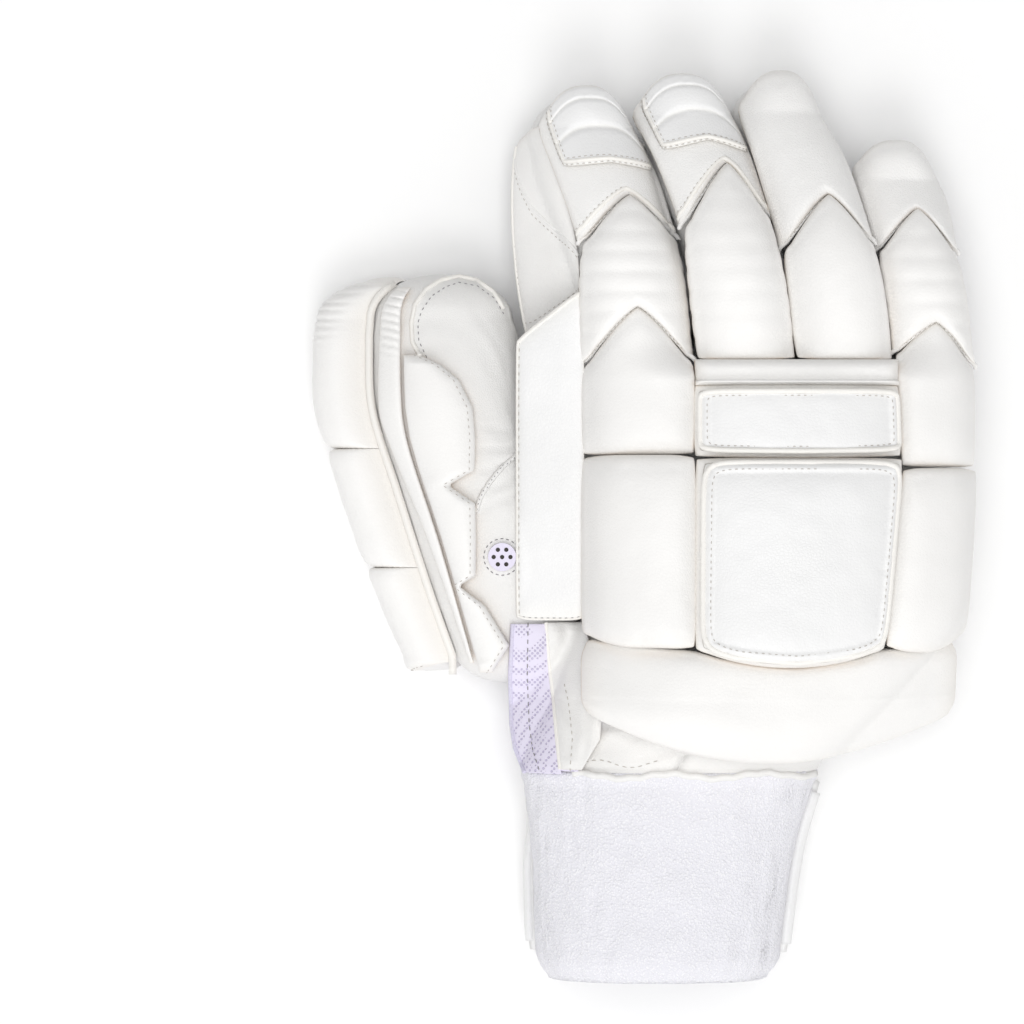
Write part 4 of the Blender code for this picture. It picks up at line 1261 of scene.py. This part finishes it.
# %% Seams of the back
for name, across, along, inset in (("knuckle_patch", 0.955, 0.90, 0.17),
                                   ("back_patch", 0.955, 0.955, 0.10)):
    piping(name + "_welt", loop(tops[name], across, along, 0.16), 0.95, binding, closed=True,
           lift=0.1)
    sew(loop(tops[name], across - 0.10, along - inset, 0.16), 2.1, 1.1, 0.19)
sew_on("side_guard", [(-0.80, 0.90), (-0.80, -0.93)], 120, 2.6, 1.6, 0.2)
sew_on("side_guard", [(-0.90, -0.93), (0.98, -0.93)], 30, 2.0, 1.3, 0.2, kind="grey")
pipe_on("guard_edge", "side_guard", [(-0.99, 0.93), (-0.99, -0.985), (0.95, -0.985)], 60, 0.55,
        binding)
pipe_on("guard_head_one", "side_guard", [(-0.96, 0.965), (0.96, 0.965)], 30, 0.7, binding)
pipe_on("guard_head_two", "side_guard", [(-0.96, 0.93), (0.96, 0.93)], 30, 0.6, binding)
panel = "index_side_panel"
sew_on(panel, [(-0.92, 0.85), (-0.90, -0.86), (0.92, -0.90)], 60, 2.1, 1.2, 0.18)
sew_on(panel, [(-0.84, -0.72), (0.94, -0.80)], 40, 2.1, 1.2, 0.18)
side_seam = [(-0.92, 0.62), (-0.2, 0.12), (0.9, -0.36)]
pipe_on("side_panel_seam", panel, side_seam, 30, 0.55, hide_leather, lift=-0.2)
sew_on(panel, [(a, b - 0.05) for a, b in side_seam], 30, 2.0, 1.1, 0.17)
pipe_on("side_panel_edge", panel, [(-0.98, 0.9), (-0.98, -0.96), (0.96, -0.96)], 60, 0.6, binding)
print("stitch lines so far:", sum(len(lines) for lines in seams.values()))

# %% [markdown]
# The thumb has the most sewing: stitches follow the notched edge of the side pad, a welt and a
# row of stitches frame the smooth leather of the tip, a corded seam crosses the crease, and
# stitches ring the mesh vent. Its holes are discs painted near black as the shade inside a hole,
# which look punched and need no boolean.

# %% Seams of the thumb
SKIN = ["thumb_stall_skin"]
pad_edge = [(x - 1.9, y) for y, x in SIDE_PAD]
sew(drop(["thumb_side_pad_cover"], pad_edge), 2.3, 1.1, 0.18)
tip_frame = [(-74.0, 55.0), (-76.4, 60.0), (-76.8, 66.0), (-75.6, 72.0), (-72.3, 77.0),
             (-67.5, 80.3), (-61.5, 81.8), (-55.5, 80.6), (-50.0, 76.6), (-46.6, 71.0)]
frame_line = drop([*SKIN, "thumb_side_pad_cover", "thumb_gather_band_cover"], tip_frame, 5)
piping("thumb_frame", frame_line, 0.75, binding, lift=0.35)
inner_frame = [(x + 2.1 * (1.0 if x < -62.0 else 0.2), y - (2.0 if y > 70.0 else 0.0))
               for x, y in tip_frame]
sew(drop(SKIN, inner_frame), 2.1, 1.2, 0.18, kind="grey")
corded = [(-55.6, 3.6), (-54.2, 8.0), (-51.8, 12.5), (-48.6, 16.5), (-45.0, 20.2), (-41.5, 23.0)]
piping("thumb_cord", drop(SKIN, corded, 6), 0.85, hide_leather, lift=0.4)
sew(drop(SKIN, corded, 6), 1.5, 0.9, 0.22, 1.1, kind="grey")


def vent_round(radius, count, turns):
    """Points round the vent, as many as count, with this many steps to a full turn."""
    return [(VENT_X + radius * math.cos(2.0 * math.pi * i / turns),
             VENT_Y + radius * math.sin(2.0 * math.pi * i / turns)) for i in range(count)]


sew(drop(SKIN, vent_round(VENT_RADIUS + 1.4, 33, 32), 2), 1.9, 1.2, 0.2, kind="grey")
sew_on("thumb_base_roll", [(0.55, -0.90), (-0.8, -0.90)], 30, 2.4, 1.3, 0.18)
sew_on("thumb_base_roll", [(0.75, 0.94), (-0.2, 0.94)], 20, 2.0, 1.0, 0.17)
sew_on("thumb_tip_roll", [(0.85, -0.965), (0.2, -0.965)], 20, 2.0, 1.0, 0.17)

bm = new_sheet()[0]
for x, y in vent_round(2.75, 6, 6) + [(VENT_X, VENT_Y)]:
    hole = bmesh.ops.create_circle(bm, cap_ends=True, segments=14, radius=0.72 * MM)
    bmesh.ops.translate(bm, verts=hole["verts"], vec=(x * MM, y * MM, (vent_z + 0.56) * MM))
# The vent's holes are discs of painted shade.
finish_piece(bm, "vent_holes", hole_shade, smooth=False)
print("thumb seams:", len(seams["grey"]), "grey lines")

# %% [markdown]
# On the palm side each finger has bands of leather with towel edging at its joints, air holes
# between them, and a gathered wrap at the tip. They are strips laid on the finger stall, so each
# one asks the stall where it is.

# %% Palm bands and edging
def palm_ring(finger, y, reach=0.96, lift=0.0, count=26):
    """Points across a finger's palm side at y, from edge to edge."""
    row = blend(STALLS[finger], y)
    out = []
    for i in range(count + 1):
        angle = -math.pi * (0.5 + reach * (i / count - 0.5))
        x, z = section(row, angle, 0.0, lift)
        normal = Vector((math.cos(angle), 0.0, math.sin(angle)))
        out.append((Vector((x, y, max(z, 0.25))), normal))
    return out


BANDS = {"index": ((56.0, 68.0), (90.0, 101.0)), "middle": ((58.0, 70.0), (95.0, 107.0)),
         "ring": ((58.0, 70.0), (95.0, 107.0)), "little": ((55.0, 66.0), (81.0, 91.0))}


def band_place(finger, low_y, high_y, outside):
    def at(a, b):
        y = low_y + (high_y - low_y) * (spread(b) + 1.0) / 2.0
        angle = -math.pi / 2.0 + spread(a) * math.pi * 0.44
        full = (max(0.0, 1.0 - abs(spread(b)) ** 4) * max(0.0, 1.0 - abs(spread(a)) ** 6)) ** 0.5
        grow = 0.35 + (0.5 + 0.8 * full if outside else 0.0)
        x, z = section(blend(STALLS[finger], y), angle, 0.0, grow)
        # The last value is painted shade toward the band's edges.
        return x, y, max(z, 0.12 if outside else 0.4), nearness(a, b) ** 2
    return at


count = 0
for finger, bands in BANDS.items():
    for low_y, high_y in bands:
        name = finger + "_joint_band_" + str(count)
        pillow(name, 32, 12, band_place(finger, low_y, high_y, True),
               band_place(finger, low_y, high_y, False), hide_leather, nodes=())
        for y in (low_y, high_y):
            piping(name + "_edge_" + str(round(y)), palm_ring(finger, y, 0.86, 0.7), 0.7,
                   lilac_edge)
        sew(palm_ring(finger, low_y + 2.2, 0.84, 1.7), 2.1, 1.2, 0.18)
        sew(palm_ring(finger, high_y - 2.2, 0.84, 1.7), 2.1, 1.2, 0.18)
        count += 1
    end = STALL_END[finger]
    piping(finger + "_tip_band", palm_ring(finger, end - 20.0, 1.02, 0.5), 1.1, binding, sides=3)
    piping(finger + "_tip_edge", palm_ring(finger, end - 23.5, 1.0, 0.4), 0.7, lilac_edge)
print("joint bands:", count)

# %% [markdown]
# Air holes are small discs laid on the leather and painted near black as the shade inside a
# hole, in two columns down each finger and a few in the palm. Round the ball of the thumb a double
# row of stitches runs in a crescent.

# %% Air holes and palm stitches
bm = new_sheet()[0]


def air_hole(point, normal):
    disc = bmesh.ops.create_circle(bm, cap_ends=True, segments=12, radius=0.75 * MM)
    turn = normal.to_track_quat("Z", "Y").to_matrix().to_4x4()
    turn.translation = (point + normal * 0.12) * MM
    bmesh.ops.transform(bm, matrix=turn, verts=disc["verts"])


for finger, (low_band, high_band) in BANDS.items():
    for y in (low_band[1] + 5.0, low_band[1] + 12.0, low_band[1] + 19.0, low_band[0] - 5.0):
        row = blend(STALLS[finger], y)
        for side in (-0.36, 0.36):
            angle = -math.pi / 2.0 + side
            x, z = section(row, angle, 0.0, 0.0)
            air_hole(Vector((x, y, max(z, 0.3))), Vector((math.cos(angle), 0.0, math.sin(angle))))
for x, y in ((34.0, 18.0), (44.0, 18.0), (34.0, 8.0), (44.0, 8.0)):
    air_hole(Vector((x, y, HAND_FLOOR - 0.02)), Vector((0.0, 0.0, -1.0)))
# The air holes are discs of painted shade.
finish_piece(bm, "air_holes", hole_shade, smooth=False)

crescent = [(-6.0 + 30.0 * math.sin(t), -14.0 - 30.0 * math.cos(t)) for t in
            [math.radians(20 + 7 * i) for i in range(20)]]
for shift in (0.0, 2.6):
    line = [(x + shift, y) for x, y in crescent]
    sew(drop(["hand_shell_skin"], line, 4, above=False), 2.3, 1.3, 0.2)
ball_edge = drop(["hand_shell_skin"], [(x - 2.2, y) for x, y in crescent], 4, above=False)
piping("thumb_root_edge", ball_edge, 0.8, hide_leather, lift=0.1)
sew(loop(tops["heel_quilt"], 0.93, 0.90, 0.2, side=-1.0), 2.2, 1.3, 0.2)
sew(loop(tops["thumb_palm_mesh"], 0.90, 0.95, 0.5, side=-1.0), 2.1, 1.2, 0.2)
piping("window_edge", loop(tops["thumb_palm_mesh"], 0.97, 0.985, 0.5, side=-1.0), 0.7, binding,
       closed=True)
print("palm side done")

# %% [markdown]
# The mesh of the gusset runs on up to the flap, beside a strip of leather that closes the wrist.
# Both lie over the thumb's root, so they take their height from what is under them.

# %% Wrist closing
LEAST_HEIGHT = 14.0


def root_height(x, y):
    """Top of the thumb's root, of the hand or wrist, or a least height, the highest of them."""
    root_y = THUMB[0][0]
    root = shell_top(THUMB, x, max(y, root_y), 2.0) - 0.5 * max(0.0, root_y - y)
    rows = HAND if y > HAND[0][0] else WRIST
    return max(root, shell_top(rows, x, max(y, WRIST[0][0]), 3.0), LEAST_HEIGHT)


def closing(name, edges, thick, material, power=4.0, detail=None, lines=90):
    under, over = strip(edges, thick, thick * 0.5, root_height, 0.8, detail=detail,
                        round_power=power)
    tops[name] = over
    pillow(name, 24, lines, under, over, material, nodes=())


def soft_fold(a, b, x, y):
    fold = rough(x * 1.6, y * 0.6, 5.0, 3.0)
    # The second value is painted shade in the hollows of the folds.
    return 0.9 * fold, 0.4 * max(0.0, -fold)


closing("gusset_upper", ((-81.5, -39.5, -27.5), (-74.0, -42.6, -29.0), (-66.0, -43.8, -30.0),
                         (-50.0, -44.2, -31.0), (-33.0, -43.4, -31.5)), 2.0, gusset_net, lines=140)
pipe_on("gusset_edge", "gusset_upper", [(-0.97, -0.97), (-0.97, 0.97)], 90, 0.8, lilac_edge)
closing("wrist_strip", ((-80.0, -28.0, -21.0), (-70.0, -29.0, -15.0), (-58.0, -30.0, -14.0),
                        (-46.0, -31.5, -17.0), (-32.5, -32.5, -19.5)), 2.2, hide_leather, 6.0,
        soft_fold)
sew_on("wrist_strip", [(-0.05, -0.95), (-0.3, 0.1)], 40, 2.5, 1.5, 0.2)
pipe_on("wrist_strip_edge", "wrist_strip", [(-0.95, 0.98), (-0.95, -0.95)], 80, 0.7, binding)
sew_on("gusset_upper", [(-0.1, 0.9), (-0.1, -0.9)], 40, 2.8, 1.8, 0.22, kind="grey")
print("pieces with the wrist closing:", len(made))

# %% [markdown]
# The strap has a padded binding all round with a line of stitches inside it. Its two ends, where
# it is turned over, are fatter rolls.

# %% Strap binding
piping("strap_binding", loop(strap_place, 0.965, 0.93, 0.12, 240), 1.25, binding, closed=True,
       lift=-0.45, sides=3)
sew(loop(strap_place, 0.93, 0.84, 0.12, 240), 2.6, 1.6, 0.22, 0.05)
for name, side, push, radius in (("strap_end_roll", -0.972, -0.9, 2.3),
                                 ("strap_heel_roll", 0.978, -0.2, 1.6)):
    edge = [(point + Vector((push, 0.0, 0.9)), normal)
            for point, normal in trace(strap_place, [(side, -0.88), (side, 0.88)], 40)]
    piping(name, edge, radius, patch_leather, sides=3)
print("strap trimmed, thickness mm:", STRAP_THICK)

# %% [markdown]
# The wrist leather ends in a turned hem that lies on the cuff in small waves, and a row of
# stitches holds it there.

# %% Cuff seams
wrist_low = [(x, -78.0 + 1.2 * math.sin(x * 0.3)) for x in range(-24, 6, 3)]
sew(drop(["wrist_skirt_skin"], wrist_low, 3), 2.6, 1.6, 0.2)
hem_path = [(x, -81.9 + 0.8 * math.sin(x * 0.21) + 0.3 * math.sin(x * 0.83))
            for x in range(-24, 57, 2)]
piping("skirt_hem", drop(["wrist_skirt_skin", "cuff_skin"], hem_path, 2), 1.15, hide_leather,
       sides=3)
print("stitch lines:", {kind: len(lines) for kind, lines in seams.items()})

# %% [markdown]
# All stitches of one thread become one piece. A stitch is a ball of few faces stretched along
# the seam, half sunk into the leather.

# %% Sew everything
def thread_piece(kind, material):
    whole = bmesh.new()
    for line in seams[kind]:
        bm = bmesh.new()
        for point, normal, along, length, radius, lift in line:
            ball = bmesh.ops.create_uvsphere(bm, u_segments=6, v_segments=4, radius=1.0)
            across = normal.cross(along).normalized()
            lie = Matrix((across, along, across.cross(along))).transposed().to_4x4()
            lie.translation = point + normal * lift
            lie.translation.z = max(lie.translation.z, radius)
            stretch = Matrix.Diagonal((radius, length / 2.0, radius * 0.8, 1.0))
            bmesh.ops.transform(bm, matrix=Matrix.Scale(MM, 4) @ lie @ stretch,
                                verts=ball["verts"])
        scrap = bpy.data.meshes.new("scrap")
        bm.to_mesh(scrap)
        bm.free()
        whole.from_mesh(scrap)
        bpy.data.meshes.remove(scrap)
    bmesh.ops.recalc_face_normals(whole, faces=whole.faces)
    return finish_piece(whole, kind + "_stitches", material, weld=0.0000001)


for kind, material in (("sewing", thread), ("grey", grey_thread)):
    piece = thread_piece(kind, material)
    print(piece.name, len(piece.data.polygons), "faces")

# %% [markdown]
# The leather and towelling shells are sheets cut flat and sewn into tubes.

# %% [markdown]
# The photograph looks straight down, so the camera does too, from 1.35 m with a long lens. A
# pale floor and soft, wide lights keep the shadows as faint as they are there.

# %% Floor, light and camera
bm = bmesh.new()
bmesh.ops.create_grid(bm, x_segments=1, y_segments=1, size=4.0)
floor_mesh = bpy.data.meshes.new("floor")
bm.to_mesh(floor_mesh)
bm.free()
floor_white = new_material("floor_white", {"Base Color": WHITE, "Roughness": 0.9})[0]
floor_mesh.materials.append(floor_white)
add_object("floor", floor_mesh)

scene = bpy.context.scene
scene.world = bpy.data.worlds.new("studio")
scene.world.use_nodes = True
sky = scene.world.node_tree
direction = node(sky, "ShaderNodeTexCoord").outputs["Generated"]
parts = node(sky, "ShaderNodeSeparateXYZ", [(direction, 0)])
glow = node(sky, "ShaderNodeMapRange", [(parts.outputs["Y"], 0)],
            {1: -0.7, 2: 0.9, 3: 0.80, 4: 0.30})
sky.links.new(glow.outputs[0], sky.nodes["Background"].inputs["Strength"])
set_values(sky.nodes["Background"], {"Color": WHITE})

LIGHTS = (("key", (0.0, -1.1, 1.9), 1.0, 10.0), ("fill", (-0.1, 0.1, 1.8), 1.2, 10.5))
for name, place, size, power in LIGHTS:
    data = bpy.data.lights.new(name, "AREA")
    data.shape, data.size, data.energy = "DISK", size, power
    lamp = add_object(name, data)
    lamp.location = place
    lamp.rotation_euler = (-Vector(place)).to_track_quat("-Z", "Y").to_euler()

lens = bpy.data.cameras.new("overhead")
lens.sensor_width, lens.lens = 36.0, 140.4
camera = add_object("overhead", lens)
camera.location = (-0.0438, 0.0040, 1.35)
scene.camera = camera
scene.view_settings.view_transform = "Standard"
print("camera height m:", camera.location.z, "lights:", len(LIGHTS))

# %% [markdown]
# Last, the triangles of the dressed glove are counted.

# %% Sizes at the end
bpy.context.view_layer.update()
triangles = sum(len(p.vertices) - 2 for obj in made.values() for p in obj.data.polygons)
print("triangles before modifiers:", triangles)
